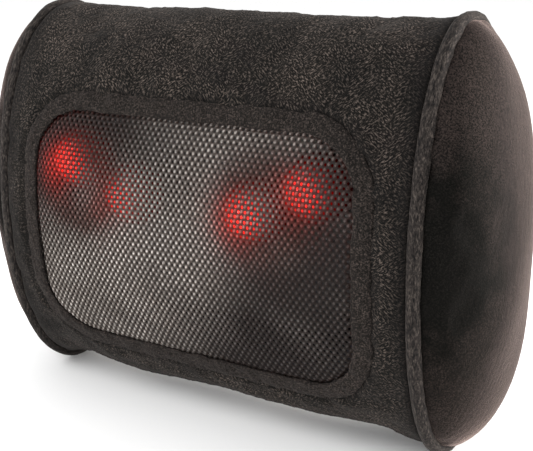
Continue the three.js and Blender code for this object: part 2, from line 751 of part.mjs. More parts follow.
add("motor_can", makeMotorCan(), STEEL, mechanism);
add("motor_end_bell", makeMotorEndBell(), BLACK_PLASTIC, mechanism);
add("motor_bracket", makeMotorBracket(), STEEL, mechanism);
add("motor_shaft", makeMotorShaft(), STEEL, mechanism);
add("worm", makeWorm(), BRASS, mechanism);
add("motor_lead", makeMotorLead(), GREY_RUBBER, mechanism);

// A thread crest faces the right wheel and a valley the left one, so the right wheel is turned by half a
// tooth, and its output gear follows.
const HALF_TOOTH = Math.PI / WHEEL_TEETH;

for (const [side, name] of [[-1, "left"], [1, "right"]]) {
  const phase = side > 0 ? HALF_TOOTH : 0;
  const wheelAxis = onAxis(side * WHEEL_X, ARM_Z, phase);
  add(name + "_compound_gear", makeCompoundGear(), WHITE_PLASTIC, wheelAxis);
  add(name + "_gear_axle", makeAxle(), STEEL, onAxis(side * WHEEL_X, ARM_Z));

  const outputPhase = (-phase * PINION_TEETH) / OUTPUT_TEETH;
  add(name + "_output_gear", makeOutputGear(), WHITE_PLASTIC, onAxis(side * ARM_X, ARM_Z, outputPhase));

  const armAxis = onAxis(side * ARM_X, ARM_Z, side * ARM_REST_TILT);
  add(name + "_output_shaft", makeOutputShaft(), STEEL, armAxis);
  add(name + "_arm", makeArm(), BLACK_PLASTIC, armAxis);
  add(name + "_arm_screw", makeArmScrew(), STEEL, armAxis);
  add(name + "_shaft_bush", makeBush(), BRASS, onAxis(side * ARM_X, ARM_Z));
  add(name + "_light_board", makeLightBoard(), BOARD, onAxis(side * ARM_X, ARM_Z));

  for (const [end, place] of [[side, "outer"], [-side, "inner"]]) {
    const pin = add(name + "_" + place + "_head_pin", makeHeadPin(), STEEL, armAxis);
    const head = add(name + "_" + place + "_head", makeHead(), RED_PLASTIC, armAxis);
    pin.position.x = end * HEAD_ORBIT;
    head.position.x = end * HEAD_ORBIT;
  }
}

add("control_bezel", makeControlBezel(), BLACK_PLASTIC);
add("control_board", makeControlBoard(), BOARD);
add("button_switch", makeButtonSwitch(), BLACK_PLASTIC);
add("power_button", makePowerButton(), GREY_RUBBER, onAxis(CONTROL.x, BUTTON_Z, 0, pillow));
add("indicator_lens", makeIndicatorLens(), BLUE_LENS);
add("power_inlet", makePowerInlet(), BLACK_PLASTIC);
add("zip_tape", makeZipTape(), PLUSH);
add("zip_teeth", makeZipTeeth(), BLACK_PLASTIC);
add("zip_slider", makeZipSlider(), STEEL);
add("zip_pull", makeZipPull(), STEEL);

export default massager;
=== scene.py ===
"""The looks of the shiatsu neck massager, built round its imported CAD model.

Metres, +Z up, and -Y is the front.
"""

import math
from copy import copy

import bmesh
import bpy
import numpy as np
from mathutils import Matrix, Vector


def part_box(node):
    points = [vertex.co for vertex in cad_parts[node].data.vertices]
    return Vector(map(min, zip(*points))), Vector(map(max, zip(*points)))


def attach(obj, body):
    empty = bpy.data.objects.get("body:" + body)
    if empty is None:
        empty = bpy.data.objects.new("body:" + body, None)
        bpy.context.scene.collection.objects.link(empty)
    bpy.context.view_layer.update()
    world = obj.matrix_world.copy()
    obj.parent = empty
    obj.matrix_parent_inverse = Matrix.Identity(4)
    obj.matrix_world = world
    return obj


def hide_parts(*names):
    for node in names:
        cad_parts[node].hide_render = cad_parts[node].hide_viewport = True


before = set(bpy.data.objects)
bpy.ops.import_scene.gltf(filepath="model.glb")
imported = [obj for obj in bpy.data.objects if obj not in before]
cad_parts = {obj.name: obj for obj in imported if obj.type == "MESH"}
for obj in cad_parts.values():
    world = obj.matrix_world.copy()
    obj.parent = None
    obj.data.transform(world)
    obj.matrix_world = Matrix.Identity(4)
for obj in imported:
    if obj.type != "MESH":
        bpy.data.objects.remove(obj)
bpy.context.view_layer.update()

MM = 0.001

# The pillow's section, as the CAD model draws it: two half superellipses on the pipings' centre line.
PIPING_R = 4 * MM
HALF_HEIGHT = 118 * MM
FRONT_DEPTH = 64 * MM
BACK_DEPTH = 54 * MM
FRONT_POWER = 2.1
BACK_POWER = 2.4
FRONT_BULGE = 12 * MM
BULGE_POWER = 6
COVER_INSET = 3 * MM
MESH_INSET = 3.8 * MM
DOME_POWER = 2.2

# Places read from the frame
piping_low, piping_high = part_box("right_piping")
PIPING_X = (piping_low.x + piping_high.x) / 2
CENTRE_Z = piping_high.z - HALF_HEIGHT - PIPING_R * math.cos(math.pi / 6)
CENTRE_Y = piping_high.y - BACK_DEPTH - PIPING_R * math.cos(math.pi / 6)
END_CROWN_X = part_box("right_end_panel")[1].x


class Rect:
    """A rounded rectangle in X and Z, measured from the section's centre."""

    def __init__(self, low, high, radius):
        self.x = (low.x + high.x) / 2
        self.z = (low.z + high.z) / 2 - CENTRE_Z
        self.half_width = (high.x - low.x) / 2
        self.half_height = (high.z - low.z) / 2
        self.radius = radius

    def grown(self, by):
        other = copy(self)
        other.half_width += by
        other.half_height += by
        other.radius = max(self.radius + by, 0.5 * MM)
        return other

    def distance(self, x, z):
        """How far points are outside the outline, less than nothing inside."""
        across = np.abs(x - self.x) - (self.half_width - self.radius)
        up = np.abs(z - self.z) - (self.half_height - self.radius)
        outside = np.hypot(np.maximum(across, 0), np.maximum(up, 0))
        return outside + np.minimum(np.maximum(across, up), 0) - self.radius

    def outline(self, spacing):
        """Points along the outline and their outward normals, anticlockwise as seen from the front."""
        w, h, r = self.half_width, self.half_height, self.radius
        corners = [(w - r, h - r, 0), (r - w, h - r, 1), (r - w, r - h, 2), (w - r, r - h, 3)]
        points, outward = [], []
        for i, (cx, cz, quarter) in enumerate(corners):
            steps = max(4, round(r * math.pi / 2 / spacing))
            for k in range(steps):
                angle = (quarter + k / steps) * math.pi / 2
                n = (math.cos(angle), math.sin(angle))
                points.append((self.x + cx + r * n[0], self.z + cz + r * n[1]))
                outward.append(n)
            nx, nz, _ = corners[(i + 1) % 4]
            angle = (quarter + 1) * math.pi / 2
            n = (math.cos(angle), math.sin(angle))
            run = math.hypot(nx - cx, nz - cz)
            steps = max(1, round(run / spacing))
            for k in range(steps):
                share = k / steps
                x = self.x + cx + (nx - cx) * share + r * n[0]
                points.append((x, self.z + cz + (nz - cz) * share + r * n[1]))
                outward.append(n)
        return np.array(points), np.array(outward)


BORDER = Rect(*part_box("window_border"), 41.5 * MM)
BORDER_WIDTH = 9.5 * MM
WINDOW = BORDER.grown(-BORDER_WIDTH)
ZIP_SLIT = Rect(*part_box("zip_tape"), 4.7 * MM).grown(0.3 * MM)
BEZEL = Rect(*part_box("control_bezel"), 7 * MM)


# Arrays and meshes


def section(angle, inset):
    """The section's outline: 0 is the front and a quarter turn is the bottom."""
    c, s = np.cos(angle), np.sin(angle)
    depth = np.where(c > 0, FRONT_DEPTH, BACK_DEPTH) - inset
    power = 2 / np.where(c > 0, FRONT_POWER, BACK_POWER)
    y = -depth * np.sign(c) * np.abs(c) ** power
    z = (inset - HALF_HEIGHT) * np.sign(s) * np.abs(s) ** power
    return y, z


def bulged(x, y):
    """Y with the front swollen between the pipings."""
    share = 1 - (np.minimum(np.abs(x), PIPING_X) / PIPING_X) ** BULGE_POWER
    return np.where(y < 0, y * (1 + FRONT_BULGE / FRONT_DEPTH * share), y)


def placed(x, y, z):
    """Points given from the section's centre, in the frame."""
    return np.stack([x, y + CENTRE_Y, z + CENTRE_Z], -1)


def skin(x, angle, inset):
    """Points of the pillow's smooth surface, an inset below its seams."""
    y, z = section(angle, inset)
    return placed(x, bulged(x, y), z)


def depth_at(x, z, inset, front):
    """Y of the front or the back of the section over a point of X and Z."""
    power = FRONT_POWER if front else BACK_POWER
    share = np.clip(1 - np.abs(z / (HALF_HEIGHT - inset)) ** power, 0, 1) ** (1 / power)
    if front:
        return bulged(x, -(FRONT_DEPTH - inset) * share)
    return (BACK_DEPTH - inset) * share


def over(x, z, height, inset=COVER_INSET, front=True):
    """Points that stand `height` out of the front or the back over points of X and Z."""
    step = 0.2 * MM
    y = depth_at(x, z, inset, front)
    slope_x = (depth_at(x + step, z, inset, front) - depth_at(x - step, z, inset, front)) / (2 * step)
    slope_z = (depth_at(x, z + step, inset, front) - depth_at(x, z - step, inset, front)) / (2 * step)
    side = -1 if front else 1
    normal = np.stack([-side * slope_x, side * np.ones_like(y), -side * slope_z], -1)
    normal /= np.linalg.norm(normal, axis=-1, keepdims=True)
    return placed(x, y, z) + normal * np.asarray(height)[..., None]


def smooth(low, high, value):
    """Rises from 0 at low to 1 at high without a corner."""
    share = np.clip((value - low) / (high - low), 0, 1)
    return share * share * (3 - 2 * share)


def ripple(points, wavelength, seed, count=18):
    """A smooth random field of about unit size, from waves in seeded directions."""
    random = np.random.default_rng(seed)
    direction = random.normal(size=(count, 3))
    direction /= np.linalg.norm(direction, axis=1, keepdims=True)
    wave = 2 * math.pi / wavelength * random.uniform(0.7, 1.4, count)
    phase = random.uniform(0, 2 * math.pi, count)
    return np.sin(points @ (direction * wave[:, None]).T + phase).sum(1) * math.sqrt(2 / count)


def grid_faces(rows, columns, loop_rows=False, loop_columns=False):
    """Quads of a grid of points stored row by row."""
    r = np.arange(rows if loop_rows else rows - 1)
    c = np.arange(columns if loop_columns else columns - 1)
    r, c = np.meshgrid(r, c, indexing="ij")
    r1, c1 = (r + 1) % rows, (c + 1) % columns
    quads = [r * columns + c, r * columns + c1, r1 * columns + c1, r1 * columns + c]
    return np.stack(quads, -1).reshape(-1, 4)


def merged(*parts):
    """Points and faces of several pieces as one."""
    points, faces, start = [], [], 0
    for p, f in parts:
        points.append(np.asarray(p).reshape(-1, 3))
        faces += (np.asarray(f) + start).tolist()
        start += len(points[-1])
    return np.concatenate(points), faces


def new_piece(name, points, faces, material, body="pillow", replaces=()):
    """A piece from its points and its faces, which are an array or a list of polygons."""
    mesh = bpy.data.meshes.new(name)
    faces = faces.tolist() if isinstance(faces, np.ndarray) else faces
    mesh.from_pydata(np.asarray(points).reshape(-1, 3).tolist(), [], faces)
    return finished(mesh, name, material, body, replaces)


def finished(mesh, name, material, body, replaces=()):
    """Links a mesh as a piece that rides on a body, and hides the CAD nodes that it replaces."""
    mesh.shade_smooth()
    mesh.materials.clear()
    mesh.materials.append(material)
    piece = bpy.data.objects.new(name, mesh)
    bpy.context.scene.collection.objects.link(piece)
    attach(piece, body)
    if replaces:
        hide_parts(*replaces)
    return piece


def vectors(items, label):
    out = np.empty(len(items) * 3)
    items.foreach_get(label, out)
    return out.reshape(-1, 3)


def points_of(mesh):
    return vectors(mesh.vertices, "co")


def move_points(mesh, points):
    mesh.vertices.foreach_set("co", np.asarray(points).ravel())
    mesh.update()


def push_out(mesh, height):
    """Moves each point along its normal by its own height."""
    move_points(mesh, points_of(mesh) + vectors(mesh.vertex_normals, "vector") * height[:, None])


def set_attribute(mesh, name, values):
    kind = "FLOAT" if values.ndim == 1 else "FLOAT_VECTOR"
    attribute = mesh.attributes.new(name, kind, "POINT")
    attribute.data.foreach_set("value" if values.ndim == 1 else "vector", values.ravel())


def baked(piece):
    """Applies every modifier of a piece."""
    graph = bpy.context.evaluated_depsgraph_get()
    evaluated = piece.evaluated_get(graph)
    mesh = bpy.data.meshes.new_from_object(evaluated, preserve_all_data_layers=True, depsgraph=graph)
    piece.modifiers.clear()
    old, piece.data = piece.data, mesh
    bpy.data.meshes.remove(old)
    mesh.name = piece.name
    return mesh


def refine(piece, levels=1):
    modifier = piece.modifiers.new("finer", "SUBSURF")
    modifier.levels = modifier.render_levels = levels
    return baked(piece)


def drop_faces(mesh, doomed):
    """Removes faces, given as a flag for each, and the points that they leave loose."""
    work = bmesh.new()
    work.from_mesh(mesh)
    work.faces.ensure_lookup_table()
    bmesh.ops.delete(work, geom=[f for f, gone in zip(work.faces, doomed) if gone], context="FACES")
    work.to_mesh(mesh)
    work.free()


CLOTH_FRAMES = 20
CLOTH_SLACK = 0.004  # how much wider the cloth is cut than its start, as a share


def inflate(piece, pinned, pressure, cap):
    """Swells a piece with a cloth simulation that is held at its pinned points, by `cap` at most."""
    start = points_of(piece.data)
    seams = piece.vertex_groups.new(name="seams")
    seams.add([int(i) for i in np.flatnonzero(pinned)], 1, "REPLACE")
    cloth = piece.modifiers.new("cloth", "CLOTH")
    cloth.settings.quality = 5
    cloth.settings.mass = 0.1
    cloth.settings.vertex_group_mass = "seams"
    cloth.settings.use_pressure = True
    cloth.settings.uniform_pressure_force = pressure
    cloth.settings.shrink_min = -CLOTH_SLACK
    cloth.settings.effector_weights.gravity = 0
    cloth.collision_settings.use_collision = False
    cloth.point_cache.frame_end = CLOTH_FRAMES
    scene = bpy.context.scene
    for step in range(1, CLOTH_FRAMES + 1):
        scene.frame_set(step)
    evaluated = piece.evaluated_get(bpy.context.evaluated_depsgraph_get())
    move = points_of(evaluated.data) - start
    scene.frame_set(1)
    piece.modifiers.remove(cloth)
    piece.vertex_groups.remove(seams)
    length = np.linalg.norm(move, axis=1, keepdims=True)
    move *= cap * np.tanh(length / cap) / np.maximum(length, 1e-9)
    move_points(piece.data, start + move)


# Materials


class Shader:
    """A material's node tree, with short calls for the nodes that the materials share."""

    def __init__(self, name, color, roughness, metallic=0.0, **inputs):
        self.material = bpy.data.materials.new(name)
        self.material.use_nodes = True
        self.tree = self.material.node_tree
        self.surface = self.tree.nodes["Principled BSDF"]
        self.set(self.surface, "Base Color", (*color, 1))
        self.set(self.surface, "Roughness", roughness)
        self.set(self.surface, "Metallic", metallic)
        for label, value in inputs.items():
            self.set(self.surface, label.replace("_", " "), value)

    def set(self, node, socket, value):
        """Sets a socket to a value, or links it when the value is another node's output."""
        if isinstance(value, bpy.types.NodeSocket):
            self.tree.links.new(value, node.inputs[socket])
        else:
            node.inputs[socket].default_value = value

    def node(self, kind, output=0, properties=None, **inputs):
        node = self.tree.nodes.new(kind)
        for label, value in (properties or {}).items():
            setattr(node, label, value)
        for label, value in inputs.items():
            self.set(node, label.replace("_", " "), value)
        return node.outputs[output]

    def place(self, stretch=(1, 1, 1), turn=(0, 0, 0), source=None):
        """Coordinates in metres, turned and then stretched; a small share makes long features."""
        if source is None:
            source = self.node("ShaderNodeTexCoord", "Object")
        inverse = tuple(1 / share for share in stretch)
        return self.node("ShaderNodeMapping", 0, {"vector_type": "TEXTURE"}, Vector=source,
                         Scale=inverse, Rotation=turn)

    def noise(self, size, detail=2.0, roughness=0.5, stretch=(1, 1, 1), turn=(0, 0, 0), source=None):
        """Noise whose features are about `size` across."""
        where = self.place(stretch, turn, source)
        return self.node("ShaderNodeTexNoise", "Fac", None, Vector=where, Scale=1 / size,
                         Detail=detail, Roughness=roughness)

    def ramp(self, value, *stops):
        """A colour or a grey for each place along a value."""
        node = self.tree.nodes.new("ShaderNodeValToRGB")
        self.set(node, "Fac", value)
        elements = node.color_ramp.elements
        while len(elements) < len(stops):
            elements.new(0.5)
        for element, (position, color) in zip(elements, stops):
            element.position = position
            element.color = (*color, 1) if hasattr(color, "__len__") else (color,) * 3 + (1,)
        return node.outputs["Color"]

    def mix(self, share, first, second, blend="MIX"):
        node = self.tree.nodes.new("ShaderNodeMix")
        node.data_type = "RGBA"
        node.blend_type = blend
        for index, value in ((0, share), (6, first), (7, second)):
            self.set(node, index, (*value, 1) if isinstance(value, tuple) else value)
        return node.outputs[2]

    def math(self, kind, *values):
        node = self.tree.nodes.new("ShaderNodeMath")
        node.operation = kind
        for index, value in enumerate(values):
            self.set(node, index, value)
        return node.outputs[0]

    def attribute(self, name, output="Fac"):
        return self.node("ShaderNodeAttribute", output, {"attribute_name": name})

    def bump(self, height, distance, strength=1.0):
        node = self.tree.nodes.new("ShaderNodeBump")
        self.set(node, "Height", height)
        self.set(node, "Distance", distance)
        self.set(node, "Strength", strength)
        self.set(self.surface, "Normal", node.outputs[0])

    def color(self, value):
        self.set(self.surface, "Base Color", value)


def shade(text):
    """A linear colour from its sRGB hexadecimal digits."""
    parts = [int(text[i:i + 2], 16) / 255 for i in (0, 2, 4)]
    return tuple(c / 12.92 if c <= 0.04045 else ((c + 0.055) / 1.055) ** 2.4 for c in parts)


DIAGONAL = math.radians(52)


def plush_material():
    """Short pile combed into small slanting locks whose tips catch the light."""
    s = Shader("plush", shade("1d1a18"), 0.92, Sheen_Weight=0.05, Sheen_Roughness=0.45,
               Sheen_Tint=(0.5, 0.45, 0.42, 1), Specular_IOR_Level=0.12)
    pile = s.attribute("pile", "Vector")
    rising = s.noise(0.74 * MM, 2, 0.6, (1, 1, 0.42), (0, DIAGONAL, 0), pile)
    falling = s.noise(0.74 * MM, 2, 0.6, (1, 1, 0.42), (0, -DIAGONAL, 0), pile)
    patches = s.ramp(s.noise(13 * MM, 1, source=pile), (0.44, 0.0), (0.56, 1.0))
    locks = s.mix(patches, rising, falling)
    tips = s.ramp(locks, (0.51, 0.0), (0.68, 1.0))
    # painted shade in the gaps at the locks' roots
    roots = s.ramp(locks, (0.36, 0.12), (0.52, 1.0))
    clouds = s.ramp(s.noise(34 * MM, 3, 0.6), (0.32, 0.0), (0.68, 1.0))
    ground = s.mix(clouds, shade("070605"), shade("161310"))
    # painted shade: darker ground and fewer lit tips where the pile lies flat in the seams' grooves
    flat = s.attribute("flat_and_shaded")
    specks = s.math("MULTIPLY", tips, s.math("SUBTRACT", 1.0, s.math("MULTIPLY", flat, 0.85)))
    dark = s.mix(1.0, s.mix(flat, ground, shade("0f0d0c")), roots, "MULTIPLY")
    s.color(s.mix(specks, dark, s.mix(clouds, shade("3a3430"), shade("665b54"))))
    s.bump(locks, 0.9 * MM, 0.7)
    return s.material


def velour_material():
    """Fine velour with clouds and a warm sheen at glancing angles, its colour painted dark as shade over the
    front's middle and paler as a painted sheen round the rest.
    """
    s = Shader("velour", shade("1a1715"), 0.85, Sheen_Weight=0.45, Sheen_Roughness=0.26,
               Sheen_Tint=(0.86, 0.66, 0.60, 1), Specular_IOR_Level=0.06)
    grain = s.noise(0.8 * MM, 3, 0.65)
    clouds = s.noise(20 * MM, 4, 0.6)
    # painted shade on the front's middle and a paler painted sheen round the rest, stirred by the clouds
    painted_sheen = s.math("MULTIPLY_ADD", clouds, 1.1, s.math("SUBTRACT", s.attribute("painted_sheen"), 0.55))
    dark = s.mix(s.ramp(grain, (0.46, 0.0), (0.70, 1.0)), shade("030302"), shade("141210"))
    pale = s.mix(s.ramp(grain, (0.40, 0.0), (0.70, 1.0)), shade("0c0a09"), shade("342c29"))
    s.color(s.mix(s.ramp(painted_sheen, (0.25, 0.0), (0.80, 1.0)), dark, pale))
    s.bump(grain, 0.45 * MM, 0.5)
    return s.material


def piping_material():
    """Cord covered in the plush, its pile combed lengthwise."""
    s = Shader("piping", shade("33302d"), 0.85, Sheen_Weight=0.08, Sheen_Roughness=0.4,
               Sheen_Tint=(0.5, 0.45, 0.42, 1), Specular_IOR_Level=0.12)
    along = s.attribute("along", "Vector")
    streaks = s.noise(1.1 * MM, 3, 0.6, (0.36, 1, 1), source=along)
    fine = s.noise(0.7 * MM, 2, 0.6, (0.5, 1, 1), source=along)
    height = s.mix(0.35, streaks, fine)
    s.color(s.ramp(height, (0.38, shade("080707")), (0.52, shade("231f1d")), (0.68, shade("47413c"))))
    s.bump(height, 0.8 * MM, 0.8)
    return s.material


def border_material():
    """The band round the window: the plush's short back pile, with finer specks."""
    s = Shader("border", shade("1c1917"), 0.95, Sheen_Weight=0.05, Sheen_Roughness=0.5,
               Sheen_Tint=(0.5, 0.44, 0.41, 1), Specular_IOR_Level=0.1)
    fuzz = s.noise(0.9 * MM, 3, 0.7)
    clouds = s.noise(30 * MM, 2)
    ground = s.mix(clouds, shade("0a0908"), shade("151210"))
    s.color(s.mix(s.ramp(fuzz, (0.48, 0.0), (0.72, 1.0)), ground, shade("453d39")))
    s.bump(fuzz, 0.8 * MM, 0.7)
    return s.material


def mesh_material():
    """Knitted polyester on a dark ground, with painted highlights on its ribs, thin enough to let the lamps'
    light through.
    """
    s = Shader("net", shade("3a3633"), 0.34, Specular_IOR_Level=0.25)
    grain = s.noise(0.85 * MM, 2, 0.6, (1, 1, 0.5))
    # painted highlights on the ribs, broken into short dashes by the grain
    rib = s.ramp(s.attribute("rib"), (0.36, 0.0), (0.78, 1.0))
    rib = s.math("MULTIPLY", rib, s.ramp(grain, (0.40, 0.25), (0.56, 1.0)))
    # a painted pool of light: ribs and ground lighter inside the band and darker outside it, the highlights
    # mottled
    painted_highlight = s.attribute("painted_highlight")
    yarn = s.noise(0.5 * MM, 2, 0.6, (1, 1, 0.3))
    highlight_mottle = s.noise(28 * MM, 2)
    bright = s.mix(painted_highlight, shade("2b2624"), s.ramp(highlight_mottle, (0.35, shade("d2c9c0")), (0.65, shade("efe7df"))))
    ground = s.mix(painted_highlight, shade("0e0c0b"), s.ramp(yarn, (0.35, shade("36312d")), (0.7, shade("6b635d"))))
    s.color(s.mix(rib, ground, bright))
    s.set(s.surface, "Roughness", s.mix(painted_highlight, (0.62,) * 3, s.ramp(yarn, (0.3, 0.30), (0.7, 0.44))))
    s.bump(yarn, 0.25 * MM, 0.6)
    through = s.tree.nodes.new("ShaderNodeBsdfTranslucent")
    s.set(through, "Color", s.mix(rib, shade("8a7a72"), shade("fff0e8")))
    both = s.tree.nodes.new("ShaderNodeMixShader")
    s.set(both, "Fac", s.math("MULTIPLY_ADD", s.attribute("thin"), 0.25, 0.45))
    s.tree.links.new(s.surface.outputs[0], both.inputs[1])
    s.tree.links.new(through.outputs[0], both.inputs[2])
    s.tree.links.new(both.outputs[0], s.tree.nodes["Material Output"].inputs["Surface"])
    return s.material


HEAD_GLOW = {"left_outer": 4.2, "left_inner": 1.3, "right_inner": 3.2, "right_outer": 2.2}
LAMP_RED = (1.0, 0.016, 0.010)
# how much of the lamp's light comes out, from the crown to the rim
GLOW_FALL = ((0.0, 1.0), (0.05, 0.7), (0.10, 0.36), (0.19, 0.12), (0.34, 0.03), (0.7, 0.005))


def head_material(name):
    """Red translucent plastic, lit from inside by the lamps and brightest at its crown."""
    s = Shader(f"lit_{name}", shade("8c0d0d"), 0.25, Coat_Weight=0.3)
    low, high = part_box(f"{name}_head")
    height = s.node("ShaderNodeSeparateXYZ", "Y", None, Vector=s.node("ShaderNodeTexCoord", "Object"))
    from_crown = s.math("DIVIDE", s.math("SUBTRACT", height, low.y), high.y - low.y)
    stops = [(place, tuple(c * share for c in LAMP_RED)) for place, share in GLOW_FALL]
    cloud = s.noise(9 * MM, 1)
    glow = s.ramp(from_crown, *stops)
    s.set(s.surface, "Emission Color", s.mix(s.ramp(cloud, (0.3, 0.75), (0.6, 1.0)), (0, 0, 0), glow))
    s.set(s.surface, "Emission Strength", HEAD_GLOW[name])
    s.color(s.mix(cloud, shade("4a0606"), shade("7a0c0c")))
    s.bump(s.noise(1.5 * MM, 2), 0.08 * MM, 0.5)
    return s.material


def foam_material():
    """Open-cell foam, dark grey: partly its own colour, partly painted shade for the dim inside seen through
    the net.
    """
    s = Shader("foam", shade("35353a"), 0.95, Specular_IOR_Level=0.1)
    where = s.place()
    cells = s.node("ShaderNodeTexVoronoi", "Distance", None, Vector=where, Scale=1 / (1.6 * MM))
    s.color(s.mix(s.ramp(cells, (0.1, 0.0), (0.6, 1.0)), shade("17171a"), shade("424248")))
    s.bump(cells, 0.7 * MM, 0.8)
    return s.material


def plastic_material(name, color, roughness, grain_size=0.5 * MM):
    """Moulded plastic with a fine spark-eroded grain, a little glossier where it is handled."""
    s = Shader(name, color, roughness)
    grain = s.noise(grain_size, 3, 0.6)
    handled = s.noise(22 * MM, 2)
    darker = tuple(c * 0.72 for c in color)
    s.color(s.mix(handled, darker, color))
    s.set(s.surface, "Roughness", s.ramp(handled, (0.3, roughness * 0.75), (0.7, min(roughness * 1.15, 1))))
    s.bump(grain, 0.06 * MM, 0.6)
    return s.material


def metal_material(name, color, roughness, stretch=(1, 0.06, 1)):
    """Turned or brushed metal, with fine lines and a few dull patches."""
    s = Shader(name, color, roughness, 1.0)
    lines = s.noise(0.35 * MM, 3, 0.6, stretch)
    dull = s.noise(8 * MM, 3, 0.6)
    s.color(s.mix(dull, tuple(c * 0.75 for c in color), color))
    s.set(s.surface, "Roughness", s.ramp(dull, (0.3, roughness * 0.8), (0.75, roughness * 1.7)))
    s.bump(lines, 0.03 * MM, 0.5)
    return s.material


def board_material():
    """A circuit board: dark resist over copper tracks, with tinned pads."""
    s = Shader("circuit_board", shade("10160f"), 0.4)
    where = s.place()
    tracks = s.node("ShaderNodeTexBrick", "Fac", None, Vector=where, Scale=60.0, Mortar_Size=0.03)
    pads = s.node("ShaderNodeTexVoronoi", "Distance", None, Vector=where, Scale=1 / (4 * MM))
    base = s.mix(tracks, shade("10160f"), shade("1f2d1c"))
    tinned = s.ramp(pads, (0.14, 1.0), (0.18, 0.0))
    s.color(s.mix(tinned, base, shade("8f9296")))
    s.bump(tracks, 0.05 * MM, 0.5)
    return s.material


def weave_material(name, dark, light, pitch):
    """A narrow twill-woven tape."""
    s = Shader(name, dark, 0.8, Sheen_Weight=0.2, Specular_IOR_Level=0.3)
    where = s.place((1, 1, 1), (0, math.radians(45), 0))
    wale = s.node("ShaderNodeTexWave", "Fac", {"bands_direction": "X"}, Vector=where,
                  Scale=1 / (pitch * 6.3), Distortion=0.6)
    yarn = s.noise(0.3 * MM, 2)
    s.color(s.mix(wale, dark, light))
    s.bump(s.mix(0.3, wale, yarn), 0.25 * MM, 0.8)
    return s.material


def lens_material():
    """The indicator's lens, faintly lit."""
    s = Shader("blue_lens", shade("9fc7e8"), 0.12, Coat_Weight=0.5)
    depth = s.noise(1.2 * MM, 1)
    s.color(s.mix(depth, shade("7fb0dc"), shade("c2ddf2")))
    s.set(s.surface, "Emission Color", s.mix(depth, shade("4f9be0"), shade("a8d4ff")))
    s.set(s.surface, "Emission Strength", 0.35)
    s.bump(depth, 0.05 * MM, 0.4)
    return s.material


PLUSH = plush_material()
VELOUR = velour_material()
PIPING = piping_material()
BAND = border_material()
NET = mesh_material()
LIT_RED = {name: head_material(name) for name in HEAD_GLOW}
FOAM = foam_material()
BLACK = plastic_material("black_plastic", shade("1c1c1e"), 0.5)
SATIN_BLACK = plastic_material("satin_black", shade("232326"), 0.32, 0.35 * MM)
WHITE = plastic_material("white_plastic", shade("e6e4dc"), 0.42)
STEEL = metal_material("steel", shade("b9bcc0"), 0.3)
BLACK_STEEL = metal_material("blackened_steel", shade("2b2c2e"), 0.45)
BRASS = metal_material("brass", shade("b08d45"), 0.3, (1, 1, 0.06))
BOARD = board_material()
RUBBER = plastic_material("grey_rubber", shade("55585c"), 0.75, 0.8 * MM)
LENS = lens_material()
TAPE = weave_material("zip_tape", shade("161514"), shade("34312f"), 0.9 * MM)
NYLON = plastic_material("zip_nylon", shade("1b1a1a"), 0.35, 0.3 * MM)


# The plush sleeve

SLEEVE_END = PIPING_X - PIPING_R * 0.4
SLEEVE_COLUMNS = 67
SLEEVE_ROWS = 152
SLEEVE_PRESSURE = 4.0
SLEEVE_GROWTH = 3.5 * MM
SECTION_SAMPLES = 1441


def even_angles(count):
    """Angles that part the section into equal lengths."""
    angle = np.linspace(0, 2 * math.pi, SECTION_SAMPLES)
    y, z = section(angle, COVER_INSET)
    length = np.concatenate([[0], np.cumsum(np.hypot(np.diff(y), np.diff(z)))])
    return np.interp(np.linspace(0, length[-1], count, endpoint=False), length, angle)


def seam_distance(points):
    """Distances to the edges of the window, the zip and the bezel, which count only on their own side."""
    x, y, z = points[:, 0], points[:, 1] - CENTRE_Y, points[:, 2] - CENTRE_Z
    far = np.full(len(points), 1.0)
    window = np.where(y < 0, BORDER.distance(x, z), far)
    zipper = np.where(y > 0, ZIP_SLIT.distance(x, z), far)
    bezel = np.where(y > 0, BEZEL.distance(x, z), far)
    return window, zipper, bezel


def sleeve_relief(points):
    """Height of the sewn and worn shape over the smooth sleeve, and how far the pile lies flat beside the
    seams, which the plush also darkens there as painted shade.
    """
    window, zipper, bezel = seam_distance(points)
    x, z = points[:, 0], points[:, 2] - CENTRE_Z
    to_end = SLEEVE_END - np.abs(x)
    # full beside the pipings and tucked in under them, with puckers
    height = 2.2 * MM * np.exp(-((to_end / (16 * MM)) ** 2))
    height -= 2.6 * MM * (1 - smooth(0, 4.5 * MM, to_end)) ** 1.5
    puckers = ripple(points * np.array([0.25, 1, 1]), 15 * MM, 3)
    height += 0.22 * MM * puckers * np.exp(-((to_end / (13 * MM)) ** 2))
    # pulled down at the edges of the window, the zip and the control module
    height -= 1.7 * MM * np.exp(-((np.maximum(window, 0) / (2.4 * MM)) ** 2))
    height += 0.35 * MM * ripple(points, 12 * MM, 4) * np.exp(-((window / (12 * MM)) ** 2))
    height -= 2.4 * MM * np.exp(-((np.maximum(zipper, 0) / (2.2 * MM)) ** 2))
    height -= 0.9 * MM * np.exp(-((np.maximum(bezel, 0) / (4 * MM)) ** 2))
    # fuller on top, drawn up underneath, and uneven away from the seams
    top = np.clip(z / HALF_HEIGHT, 0, 1) ** 4
    height += 1.8 * MM * top * (1 - 0.8 * np.exp(-((to_end / (16 * MM)) ** 2)))
    bottom = np.clip(-z / HALF_HEIGHT, 0, 1) ** 4
    height -= 3.0 * MM * bottom * smooth(0, 30 * MM, to_end)
    calm = smooth(0, 14 * MM, np.minimum(np.minimum(np.abs(window), np.abs(zipper)), to_end))
    height += calm * (0.7 * MM * ripple(points, 70 * MM, 5) + 0.3 * MM * ripple(points, 26 * MM, 6))
    # the pile lies flat beside the pipings and the window, and the plush paints shade there in the seams'
    # grooves
    flat = np.exp(-((to_end / (12 * MM)) ** 2)) + 0.6 * np.exp(-((np.abs(window) / (4 * MM)) ** 2))
    return height, np.clip(flat, 0, 1)


